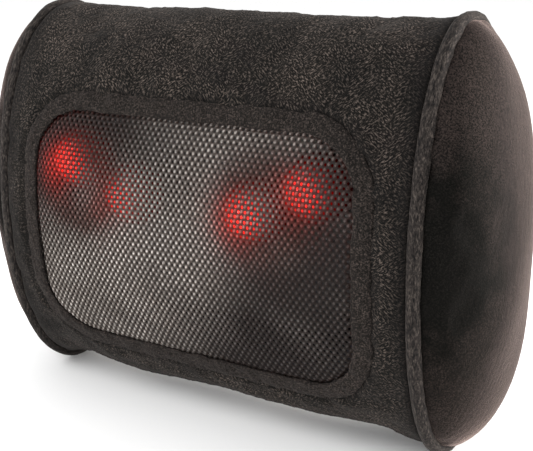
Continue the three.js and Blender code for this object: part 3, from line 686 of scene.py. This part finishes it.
def pile_places(points):
    """Each point's place on the flat cloth: along the pillow, and round the section from its front."""
    x, y, z = points[:, 0], points[:, 1] - CENTRE_Y, points[:, 2] - CENTRE_Z
    share = 1 - (np.minimum(np.abs(x), PIPING_X) / PIPING_X) ** BULGE_POWER
    y = np.where(y < 0, y / (1 + FRONT_BULGE / FRONT_DEPTH * share), y)
    depth = np.where(y < 0, FRONT_DEPTH, BACK_DEPTH)
    power = np.where(y < 0, FRONT_POWER, BACK_POWER) / 2
    c = -np.sign(y) * np.abs(y / depth) ** power
    s = -np.sign(z) * np.abs(z / HALF_HEIGHT) ** power
    angle = np.linspace(-math.pi, math.pi, SECTION_SAMPLES)
    length = np.concatenate([[0], np.cumsum(np.hypot(*np.diff(section(angle, COVER_INSET))))])
    return np.stack([x, 0 * x, -np.interp(np.arctan2(s, c), angle, length)], -1)


def make_sleeve():
    """The plush sleeve, open at the window, the zip and the control module."""
    x = np.linspace(-SLEEVE_END, SLEEVE_END, SLEEVE_COLUMNS)
    angle = even_angles(SLEEVE_ROWS)
    points = skin(*np.meshgrid(x, angle), COVER_INSET)
    faces = grid_faces(SLEEVE_ROWS, SLEEVE_COLUMNS, loop_rows=True)[:, ::-1]
    sleeve = new_piece("plush_sleeve", points, faces, PLUSH, replaces=["cover"])
    start = points_of(sleeve.data)
    window, zipper, bezel = seam_distance(start)
    at_end = np.abs(start[:, 0]) > SLEEVE_END - 1 * MM
    pinned = at_end | (window < 3 * MM) | (zipper < 3 * MM) | (bezel < 3 * MM)
    inflate(sleeve, pinned, SLEEVE_PRESSURE, SLEEVE_GROWTH)
    mesh = refine(sleeve)
    height, flat = sleeve_relief(points_of(mesh))
    push_out(mesh, height)
    lock = ripple(points_of(mesh), 5 * MM, 7, 30)
    push_out(mesh, 0.16 * MM * lock * (1 - flat))
    centres = vectors(mesh.polygons, "center")
    window, zipper, _ = seam_distance(centres)
    behind = centres[:, 1] > CENTRE_Y
    neck = BEZEL.grown(-3.5 * MM).distance(centres[:, 0], centres[:, 2] - CENTRE_Z)
    # where the pile lies flat, which the plush also darkens as painted shade
    set_attribute(mesh, "flat_and_shaded", flat)
    set_attribute(mesh, "pile", pile_places(points_of(mesh)))
    drop_faces(mesh, (window < -3.2 * MM) | (zipper < -0.2 * MM) | (behind & (neck < 0)))
    return sleeve


def swept_loop(centres, sideways, ring, front=True):
    """A closed bar along an outline, its section given as (sideways, height) points."""
    rows = []
    for across, height in ring:
        x = centres[:, 0] + sideways[:, 0] * across
        z = centres[:, 1] + sideways[:, 1] * across
        rows.append(over(x, z, np.full(len(x), height), front=front))
    points = np.stack(rows, 1)
    return points, grid_faces(len(centres), len(ring), loop_rows=True, loop_columns=True)


def make_zip_lips():
    """The sleeve's folded edge round the zip."""
    centres, sideways = ZIP_SLIT.outline(1.5 * MM)
    turn = np.linspace(0, 2 * math.pi, 14, endpoint=False)
    ring = [(0.6 * MM + 1.7 * MM * math.cos(a), -1.35 * MM + 1.25 * MM * math.sin(a)) for a in turn]
    points, faces = swept_loop(centres, sideways, ring, front=False)
    lips = new_piece("zip_lips", points, faces, PLUSH)
    push_out(lips.data, 0.12 * MM * ripple(points_of(lips.data), 5 * MM, 8))
    set_attribute(lips.data, "pile", points_of(lips.data))
    return lips


# The window's band and net

BAND_CROWN = 1.1 * MM
BAND_DEPTH = 1.6 * MM


def make_band():
    """The padded band sewn round the net."""
    centres, outward = WINDOW.grown(BORDER_WIDTH / 2).outline(2.2 * MM)
    half = BORDER_WIDTH / 2 + 0.5 * MM
    upper = np.linspace(math.pi, 0, 13)
    ring = [(half * math.cos(a), BAND_CROWN * math.sin(a) ** 0.7 - 0.9 * MM) for a in upper]
    ring += [(half * c, -0.9 * MM - BAND_DEPTH) for c in (0.9, 0.45, 0, -0.45, -0.9)]
    points, faces = swept_loop(centres, outward, ring)
    band = new_piece("window_band", points, faces[:, ::-1], BAND, replaces=["window_border"])
    mesh = refine(band)
    p = points_of(mesh)
    push_out(mesh, 0.30 * MM * ripple(p, 16 * MM, 11) + 0.16 * MM * ripple(p, 4.5 * MM, 12, 30))
    return band


CELL_WIDTH = 3.7 * MM
CELL_RISE = 2.6 * MM
HEX_SIDE = 0.642 * MM
HEX_TIP = 1.958 * MM
HOLE = (0.74 * MM, 0.88 * MM)
NET_THICK = 0.7 * MM
RIB_HEIGHT = 0.34 * MM
HEAD_ORBIT = 20 * MM
HEM = 3.0 * MM


def arm_axes():
    """X and Z of the two arms' axes, from the section's centre."""
    found = []
    for side in ("left", "right"):
        low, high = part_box(side + "_output_shaft")
        found.append(((low.x + high.x) / 2, (low.z + high.z) / 2 - CENTRE_Z))
    return found


def net_height(x, z):
    """The net over its smooth surface: lifted by the heads' paths and tucked under the band."""
    edge = WINDOW.distance(x, z)
    height = np.zeros_like(x)
    for ax, az in arm_axes():
        off = np.hypot(x - ax, z - az) - HEAD_ORBIT
        height += 1.3 * MM * np.exp(-((off / (13 * MM)) ** 2))
    for side in ("left", "right"):
        for place in ("outer", "inner"):
            low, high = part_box(f"{side}_{place}_head")
            off = np.hypot(x - (low.x + high.x) / 2, z - (low.z + high.z) / 2 + CENTRE_Z)
            height += 1.2 * MM * np.exp(-((off / (12 * MM)) ** 2))
    height *= smooth(0, 12 * MM, -edge)
    height -= 1.9 * MM * smooth(-4 * MM, 0.6 * MM, edge)
    flat = np.stack([x, z * 0, z], -1).reshape(-1, 3)
    return height + 0.25 * MM * ripple(flat, 55 * MM, 15).reshape(x.shape)


def thin_share(points):
    """How far the heads' paths have stretched the knit thin."""
    share = np.zeros(len(points))
    for ax, az in arm_axes():
        off = np.hypot(points[:, 0] - ax, points[:, 2] - CENTRE_Z - az) - HEAD_ORBIT
        share = np.maximum(share, np.exp(-((off / (11 * MM)) ** 2)))
    return share


def painted_highlight_share(points):
    """The net's painted highlight: brightest in a band that leans from the low left to the top's middle, and
    dimmer along the heads' paths.
    """
    x = points[:, 0]
    z = points[:, 2] - CENTRE_Z
    right = 1 - smooth(-50 * MM, 40 * MM, x - 48 * MM - 0.72 * z)
    left = smooth(-45 * MM, 40 * MM, x + 80 * MM - 1.15 * z)
    share = right * left * (0.9 - 0.34 * smooth(-10 * MM, 50 * MM, z))
    share *= 1 - 0.5 * thin_share(points)
    return np.clip(share + 0.05 * ripple(points, 40 * MM, 16), 0, 1)


def make_net():
    """Spacer mesh: staggered six-sided cells, each with a hole, and a raised rib on its upright sides."""
    rows = int((WINDOW.half_height + HEM) / CELL_RISE)
    columns = int((WINDOW.half_width + HEM) / CELL_WIDTH) + 1
    row, column = np.meshgrid(np.arange(-rows, rows + 1), np.arange(-columns, columns + 1), indexing="ij")
    cx = WINDOW.x + (column + 0.5 * (row % 2)) * CELL_WIDTH
    cz = WINDOW.z + row * CELL_RISE
    inside = WINDOW.distance(cx, cz) < HEM
    cx, cz = cx[inside], cz[inside]
    half = CELL_WIDTH / 2
    # one cell's edge, anticlockwise from the middle of its right side, and how much of a rib each point is;
    # every rib leans over to the right at its top
    slant_x, slant_z = half / 2, (HEX_SIDE + HEX_TIP) / 2
    edge = [(half, 0), (half, HEX_SIDE), (slant_x, slant_z), (0, HEX_TIP), (-slant_x, slant_z),
            (-half, HEX_SIDE), (-half, 0), (-half, -HEX_SIDE), (-slant_x, -slant_z), (0, -HEX_TIP),
            (slant_x, -slant_z), (half, -HEX_SIDE)]
    rib = np.array([1, 0.95, 0.05, 0.45, 0.4, 0.95, 1, 0.45, 0.05, 0.95, 0.4, 0.45])
    angle = np.array([math.atan2(z / HEX_TIP, x / half) for x, z in edge])
    hole = np.stack([HOLE[0] * np.cos(angle), HOLE[1] * np.sin(angle)], -1)
    edge = np.array(edge)
    count = len(edge)
    rings = []
    for shape, depth, share in ((edge, RIB_HEIGHT * rib, rib), (hole, -0.22 * MM + 0 * rib, 0.3 * rib),
                                (hole * 0.96, -NET_THICK + 0 * rib, 0 * rib)):
        x = cx[:, None] + shape[None, :, 0]
        z = cz[:, None] + shape[None, :, 1]
        rings.append((over(x, z, net_height(x, z) + depth, MESH_INSET), np.broadcast_to(share, x.shape)))
    points = np.stack([r[0] for r in rings], 1)
    ribs = np.stack([r[1] for r in rings], 1)
    faces = grid_faces(3, count, loop_columns=True)
    faces = (faces[None] + np.arange(len(cx))[:, None, None] * 3 * count).reshape(-1, 4)
    net = new_piece("mesh_window", points, faces[:, ::-1], NET, replaces=["mesh_panel"])
    # where the ribs stand, which the material paints with highlights, and the band where it paints them
    # brightest
    set_attribute(net.data, "rib", np.ascontiguousarray(ribs.reshape(-1)).astype(float))
    set_attribute(net.data, "painted_highlight", painted_highlight_share(points_of(net.data)))
    set_attribute(net.data, "thin", thin_share(points_of(net.data)))
    weld(net.data, 0.02 * MM)
    return net


def weld(mesh, distance):
    work = bmesh.new()
    work.from_mesh(mesh)
    bmesh.ops.remove_doubles(work, verts=work.verts, dist=distance)
    work.to_mesh(mesh)
    work.free()


# End panels and pipings

DISC_STEPS = 44
PANEL_START = PIPING_X + 0.8 * MM
PANEL_INSET = 1.8 * MM
PANEL_PRESSURE = 4.0
PANEL_GROWTH = 1.0 * MM
SEWN_REACH = 0.985  # the share of the disc beyond which it is sewn down


def make_end_panel(side, name):
    """A velour panel stretched over the end's foam, sewn in under the piping."""
    grid = np.linspace(-1, 1, DISC_STEPS + 1)
    u, v = np.meshgrid(grid, grid)
    u, v = u * np.sqrt(1 - v * v / 2), v * np.sqrt(1 - u * u / 2)
    reach = np.clip(np.hypot(u, v), 0, 1)
    angle = np.arctan2(v, u)
    climb = (1 - reach) * math.pi / 2
    ring = np.cos(climb) ** (2 / DOME_POWER)
    rise = np.sin(climb) ** (2 / DOME_POWER)
    y, z = section(angle, PANEL_INSET)
    x = PANEL_START + rise * (END_CROWN_X - PANEL_START)
    points = placed(side * x, y * ring, z * ring)
    faces = grid_faces(DISC_STEPS + 1, DISC_STEPS + 1)
    faces = faces if side > 0 else faces[:, ::-1]
    panel = new_piece(name + "_velour_end", points, faces, VELOUR, replaces=[name + "_end_panel"])
    inflate(panel, reach.ravel() > SEWN_REACH, PANEL_PRESSURE, PANEL_GROWTH)
    mesh = refine(panel, 2)
    p = points_of(mesh)
    from_rim = np.abs(p[:, 0]) - PANEL_START
    near = np.exp(-((from_rim / (9 * MM)) ** 2))
    # painted shade on the front's middle and painted sheen round the rest: 0 where the panel faces the front,
    # 1 elsewhere
    front = np.exp(-(((p[:, 1] - CENTRE_Y) / HALF_HEIGHT + 0.62) / 0.5) ** 2)
    painted_sheen = 1 - front * np.exp(-(((p[:, 2] - CENTRE_Z) / HALF_HEIGHT) / 0.62) ** 2)
    height = -1.0 * MM * np.exp(-((from_rim / (2.4 * MM)) ** 2))
    height += 0.35 * MM * near * ripple(p * np.array([0.3, 1, 1]), 17 * MM, 21 + side)
    height += (1 - near) * 0.6 * MM * (ripple(p, 75 * MM, 23 + side) - 0.4)
    back = smooth(-20 * MM, 30 * MM, p[:, 1] - CENTRE_Y) * smooth(-10 * MM, 60 * MM, p[:, 2] - CENTRE_Z)
    height -= 2.2 * MM * back * smooth(2 * MM, 12 * MM, from_rim)
    height += 0.03 * MM * ripple(p, 3.5 * MM, 26, 30)
    push_out(mesh, height)
    set_attribute(mesh, "painted_sheen", painted_sheen)
    return panel


PIPING_STEPS = 300
PIPING_SIDES = 20
PIPING_PRESS = 0.94  # the seam squeezes the cord to this share of its radius
PIPING_LOOP_R = 95 * MM  # the loop's rough radius, which scales the streaks along it


def make_piping(side, name):
    """A cord covered in plush, round the end seam and pressed flat where it stands."""
    angle = even_angles(PIPING_STEPS)
    lean = 0.95 * MM * (1 - np.sin(angle)) + 0.8 * MM * np.maximum(np.cos(angle), 0)
    y, z = section(angle, lean)
    centre = placed(np.full_like(y, side * PIPING_X), y, z)
    tangent = np.roll(centre, -1, 0) - np.roll(centre, 1, 0)
    tangent /= np.linalg.norm(tangent, axis=1, keepdims=True)
    sideways = np.array([1.0, 0, 0])
    outward = np.cross(tangent, sideways)
    turn = np.linspace(0, 2 * math.pi, PIPING_SIDES, endpoint=False)
    radius = PIPING_R * (PIPING_PRESS + 0.025 * ripple(centre, 30 * MM, 31 + side))[:, None, None]
    around = sideways * np.sin(turn)[None, :, None] + outward[:, None] * np.cos(turn)[None, :, None]
    points = centre[:, None] + radius * around
    faces = grid_faces(PIPING_STEPS, PIPING_SIDES, loop_rows=True, loop_columns=True)
    piping = new_piece(name + "_corded_edge", points, faces, PIPING, replaces=[name + "_piping"])
    mesh = piping.data
    length = np.arange(PIPING_STEPS)[:, None] * (2 * math.pi * PIPING_LOOP_R / PIPING_STEPS)
    along = np.stack(np.broadcast_arrays(length, np.sin(turn) * PIPING_R, np.cos(turn) * PIPING_R), -1)
    push_out(mesh, 0.10 * MM * ripple(along.reshape(-1, 3) * np.array([0.35, 1, 1]), 3 * MM, 33, 30))
    set_attribute(mesh, "along", np.ascontiguousarray(along.reshape(-1, 3)))
    p = points_of(mesh)
    p[:, 2] = np.maximum(p[:, 2], 0)
    move_points(mesh, p)
    return piping


# Foams

FOAM_GAP = 3.2 * MM


def make_foam(node):
    """A foam piece with softened edges, drawn in so that it stays below the cloth over it."""
    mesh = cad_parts[node].data.copy()
    piece = finished(mesh, node + "_block", FOAM, "pillow", [node])
    remesh = piece.modifiers.new("even", "REMESH")
    remesh.mode = "VOXEL"
    remesh.voxel_size = 4 * MM
    soften = piece.modifiers.new("soften", "SMOOTH")
    soften.factor = 0.5
    soften.iterations = 2
    mesh = baked(piece)
    mesh.shade_smooth()
    push_out(mesh, 0.15 * MM * ripple(points_of(mesh), 9 * MM, 41) - FOAM_GAP)
    return piece


# Hard pieces

LATHE_SEGMENTS = 56


def lathe(name, profile, x, z, material, node):
    """A piece turned round an axis along Y, from its (radius, y) points, on the node's own body."""
    turn = np.linspace(0, 2 * math.pi, LATHE_SEGMENTS, endpoint=False)
    rows = [np.stack([x + r * np.cos(turn), 0 * turn + y, z + r * np.sin(turn)], -1)
            for r, y in profile if r > 0]
    faces = grid_faces(len(rows), LATHE_SEGMENTS, loop_columns=True).tolist()
    points = np.concatenate(rows)
    for index, first in ((0, True), (-1, False)):
        if profile[index][0] == 0:
            centre = len(points)
            points = np.concatenate([points, [[x, profile[index][1], z]]])
            start = 0 if first else (len(rows) - 1) * LATHE_SEGMENTS
            for k in range(LATHE_SEGMENTS):
                a, b = start + k, start + (k + 1) % LATHE_SEGMENTS
                faces.append([centre, b, a] if first else [centre, a, b])
    return new_piece(name, points, faces, material, node, [node])


def arc(radius, centre_r, centre_y, start, end, steps):
    """Points (r, y) along an arc; angles in degrees from straight out, towards the front."""
    angles = np.radians(np.linspace(start, end, steps))
    return [(centre_r + radius * math.cos(a), centre_y - radius * math.sin(a)) for a in angles]


def make_head(side, place):
    """A hollow massage head with a smooth crown and a rolled rim."""
    node = f"{side}_{place}_head"
    low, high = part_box(node)
    x, z = (low.x + high.x) / 2, (low.z + high.z) / 2
    radius = 19 * MM
    centre_y = low.y + radius
    rim = high.y
    wall = 3.2 * MM
    profile = [(0, low.y)]
    profile += arc(radius, 0, centre_y, 88, 4, 20)
    profile += [(radius, centre_y + 1.5 * MM), (radius - 0.2 * MM, rim - 1.4 * MM)]
    profile += arc(1.2 * MM, radius - 1.5 * MM, rim - 1.2 * MM, 0, -90, 5)
    profile += [(radius - wall, rim), (radius - wall, centre_y)]
    profile += arc(radius - wall, 0, centre_y, 10, 55, 8)
    boss_y = centre_y - 12 * MM
    profile += [(6 * MM, boss_y), (6 * MM, rim), (3.4 * MM, rim), (3.4 * MM, centre_y - 5 * MM)]
    profile += [(0, centre_y - 5 * MM)]
    material = LIT_RED[f"{side}_{place}"]
    return lathe(f"{side}_{place}_dome", profile, x, z, material, node)


def copy_of(node, name, material, width, body="pillow"):
    """A CAD piece with its sharp edges rounded."""
    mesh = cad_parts[node].data.copy()
    piece = finished(mesh, name, material, body, [node])
    join = piece.modifiers.new("join", "WELD")
    join.merge_threshold = 0.01 * MM
    planar = piece.modifiers.new("planar", "DECIMATE")
    planar.decimate_type = "DISSOLVE"
    planar.angle_limit = math.radians(2)
    bevel = piece.modifiers.new("round", "BEVEL")
    bevel.width = width
    bevel.segments = 3
    bevel.limit_method = "ANGLE"
    bevel.angle_limit = math.radians(28)
    mesh = baked(piece)
    mesh.shade_smooth()
    mesh.set_sharp_from_angle(angle=math.radians(32))
    return piece


def make_button():
    """The power button, with a dished face."""
    low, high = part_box("power_button")
    x, z = (low.x + high.x) / 2, (low.z + high.z) / 2
    radius = 7 * MM
    profile = [(0, low.y), (2 * MM, low.y), (2 * MM, low.y + 3.6 * MM), (radius, low.y + 4.2 * MM)]
    profile += [(radius, high.y - 1.1 * MM)]
    profile += [(radius - 0.5 * MM + 0.5 * MM * math.cos(a), high.y - 0.9 * MM + 0.8 * MM * math.sin(a))
                for a in np.radians([15, 40, 65, 90])]
    profile += [(radius - 1.6 * MM, high.y - 0.25 * MM), (radius - 3.2 * MM, high.y - 0.45 * MM)]
    profile += [(0, high.y - 0.55 * MM)]
    return lathe("soft_button", profile, x, z, SATIN_BLACK, "power_button")


def thread(path, across, radius, sides):
    """Points and faces of a round thread along a path."""
    tangent = np.gradient(path, axis=0)
    tangent /= np.linalg.norm(tangent, axis=1, keepdims=True)
    side = np.cross(tangent, across)
    side /= np.linalg.norm(side, axis=1, keepdims=True)
    up = np.cross(tangent, side)
    turn = np.linspace(0, 2 * math.pi, sides, endpoint=False)
    ring = side[:, None] * np.cos(turn)[None, :, None] + up[:, None] * np.sin(turn)[None, :, None]
    return path[:, None] + radius * ring, grid_faces(len(path), sides, loop_columns=True)


def make_zip_teeth():
    """Two rows of nylon coil, their turns meshed along the middle of the tape."""
    low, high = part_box("zip_teeth")
    pitch = 1.5 * MM
    y = (low.y + high.y) / 2
    middle = (low.z + high.z) / 2
    parts = []
    turn_steps = 8
    steps = int((high.x - low.x) / pitch) * turn_steps
    k = np.arange(steps + 1)
    phase = k * (2 * math.pi / turn_steps)
    for row in (-1, 1):
        cx = low.x + 0.4 * MM + (high.x - low.x - 0.8 * MM) * k / steps + (row * 0.25 * pitch)
        cx = np.clip(cx, low.x, high.x)
        cz = middle + row * (1.05 * MM + 0.95 * MM * np.cos(phase))
        cy = y + 0.28 * MM * np.sin(phase)
        parts.append(thread(np.stack([cx, cy, cz], -1), [1.0, 0.0, 0.001], 0.3 * MM, 8))
    points, faces = merged(*parts)
    return new_piece("zip_coil", points, faces, NYLON, replaces=["zip_teeth"])


STITCH_REACH = 0.36  # half a stitch, as a share of their spacing


def make_stitches(name, rect, spacing, depth):
    """A row of thread stitches along an outline on the back."""
    centres, _ = rect.outline(0.5 * MM)
    closed = np.concatenate([centres, centres[:1]])
    length = np.concatenate([[0], np.cumsum(np.linalg.norm(np.diff(closed, axis=0), axis=1))])
    count = int(length[-1] / spacing)
    parts = []
    thick = 0.28 * MM * np.array([0.5, 1, 1, 1, 0.5])[:, None, None]
    share = np.linspace(-STITCH_REACH, STITCH_REACH, 5)
    for k in range(count):
        at = (k + 0.5 + share) * length[-1] / count
        x = np.interp(at, length, closed[:, 0])
        z = np.interp(at, length, closed[:, 1])
        lift = -depth + 0.45 * MM * np.cos(share / STITCH_REACH * math.pi / 2)
        parts.append(thread(over(x, z, lift, front=False), [0.0, 1.0, 0.0], thick, 6))
    points, faces = merged(*parts)
    return new_piece(name, points, faces, NYLON)


def dress(nodes, material):
    """Gives CAD nodes a finished material."""
    for node in nodes:
        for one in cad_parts[node].material_slots:
            one.material = material


# Light, floor and camera


def make_camera():
    """The viewing angle: from the right and a little above, close enough for strong perspective."""
    azimuth, elevation, roll = math.radians(32.14), math.radians(15.15), math.radians(-0.703)
    away = 0.6102
    back = Vector((math.sin(azimuth) * math.cos(elevation), -math.cos(azimuth) * math.cos(elevation),
                   math.sin(elevation)))
    level = Vector((math.cos(azimuth), math.sin(azimuth), 0))
    upright = back.cross(level)
    right = math.cos(roll) * level + math.sin(roll) * upright
    up = back.cross(right)
    data = bpy.data.cameras.new("camera")
    data.sensor_width = 36
    data.lens = 68.86
    data.shift_x, data.shift_y = 0.0388, -0.0336
    camera = bpy.data.objects.new("camera", data)
    place = Vector((0, CENTRE_Y, CENTRE_Z)) + back * away
    camera.matrix_world = Matrix((right, up, back)).transposed().to_4x4()
    camera.location = place
    bpy.context.scene.collection.objects.link(camera)
    bpy.context.scene.camera = camera


def make_light(name, place, aim, size, power, color=(1, 1, 1)):
    data = bpy.data.lights.new(name, "AREA")
    data.shape = "RECTANGLE"
    data.size, data.size_y = size
    data.energy = power
    data.color = color
    light = bpy.data.objects.new(name, data)
    light.location = place
    light.rotation_euler = (Vector(place) - Vector(aim)).to_track_quat("Z", "Y").to_euler()
    bpy.context.scene.collection.objects.link(light)


def make_stage():
    """A pale floor and an even white surrounding light."""
    size = 14.0
    mesh = bpy.data.meshes.new("floor")
    mesh.from_pydata([(-size, -size, 0), (size, -size, 0), (size, size, 0), (-size, size, 0)], [],
                     [(0, 1, 2, 3)])
    s = Shader("pale_floor", (0.93, 0.93, 0.93), 0.7)
    s.color(s.mix(s.noise(0.3, 2), (0.91, 0.91, 0.91), (0.95, 0.95, 0.95)))
    mesh.materials.append(s.material)
    floor = bpy.data.objects.new("floor", mesh)
    bpy.context.scene.collection.objects.link(floor)
    world = bpy.data.worlds.new("studio")
    world.use_nodes = True
    world.node_tree.nodes["Background"].inputs["Color"].default_value = (1, 1, 1, 1)
    world.node_tree.nodes["Background"].inputs["Strength"].default_value = 1.05
    bpy.context.scene.world = world
    bpy.context.scene.view_settings.view_transform = "Standard"


make_camera()
make_stage()
centre = (0, CENTRE_Y, CENTRE_Z)
make_light("key", (-0.6, -1.0, 1.2), centre, (0.8, 0.8), 14)
make_light("low_front", (-0.75, -1.15, 0.16), centre, (0.7, 0.24), 9)
make_light("right_rim", (1.4, 0.75, 0.5), centre, (0.8, 0.9), 74, (1, 0.96, 0.93))

make_sleeve()
make_zip_lips()
make_band()
make_net()
for sign, side_name in ((-1, "left"), (1, "right")):
    make_end_panel(sign, side_name)
    make_piping(sign, side_name)
    for place_name in ("outer", "inner"):
        make_head(side_name, place_name)
for node_name in ("foam_frame", "back_foam", "left_end_foam", "right_end_foam"):
    make_foam(node_name)
make_button()
make_zip_teeth()
make_stitches("zip_stitching", ZIP_SLIT.grown(4.2 * MM), 3.6 * MM, 0.2 * MM)

copy_of("control_bezel", "control_plate", SATIN_BLACK, 0.8 * MM)
copy_of("power_inlet", "inlet_socket", BLACK, 0.3 * MM)
copy_of("zip_slider", "slider", STEEL, 0.6 * MM, "zip_slider")
copy_of("zip_pull", "pull_tab", STEEL, 0.35 * MM, "zip_pull")
copy_of("gearbox_front_shell", "front_casing", BLACK, 0.7 * MM)
for side_name in ("left", "right"):
    copy_of(side_name + "_arm", side_name + "_rocker", BLACK, 0.9 * MM,
            side_name + "_arm_unit")

dress(["zip_tape"], TAPE)
dress(["indicator_lens"], LENS)
dress(["control_board", "left_light_board", "right_light_board"], BOARD)
dress(["motor_lead"], RUBBER)
dress(["worm"], BRASS)
dress(["motor_can", "motor_bracket", "motor_shaft"], STEEL)
dress(["motor_end_bell", "gearbox_back_shell", "button_switch"], BLACK)
for side_name in ("left", "right"):
    dress([side_name + "_compound_gear", side_name + "_output_gear"], WHITE)
    dress([side_name + "_gear_axle", side_name + "_output_shaft", side_name + "_arm_screw"], STEEL)
    dress([side_name + "_outer_head_pin", side_name + "_inner_head_pin"], STEEL)
    dress([side_name + "_shaft_bush"], BRASS)
dress([f"housing_screw_{i}" for i in range(1, 5)], BLACK_STEEL)
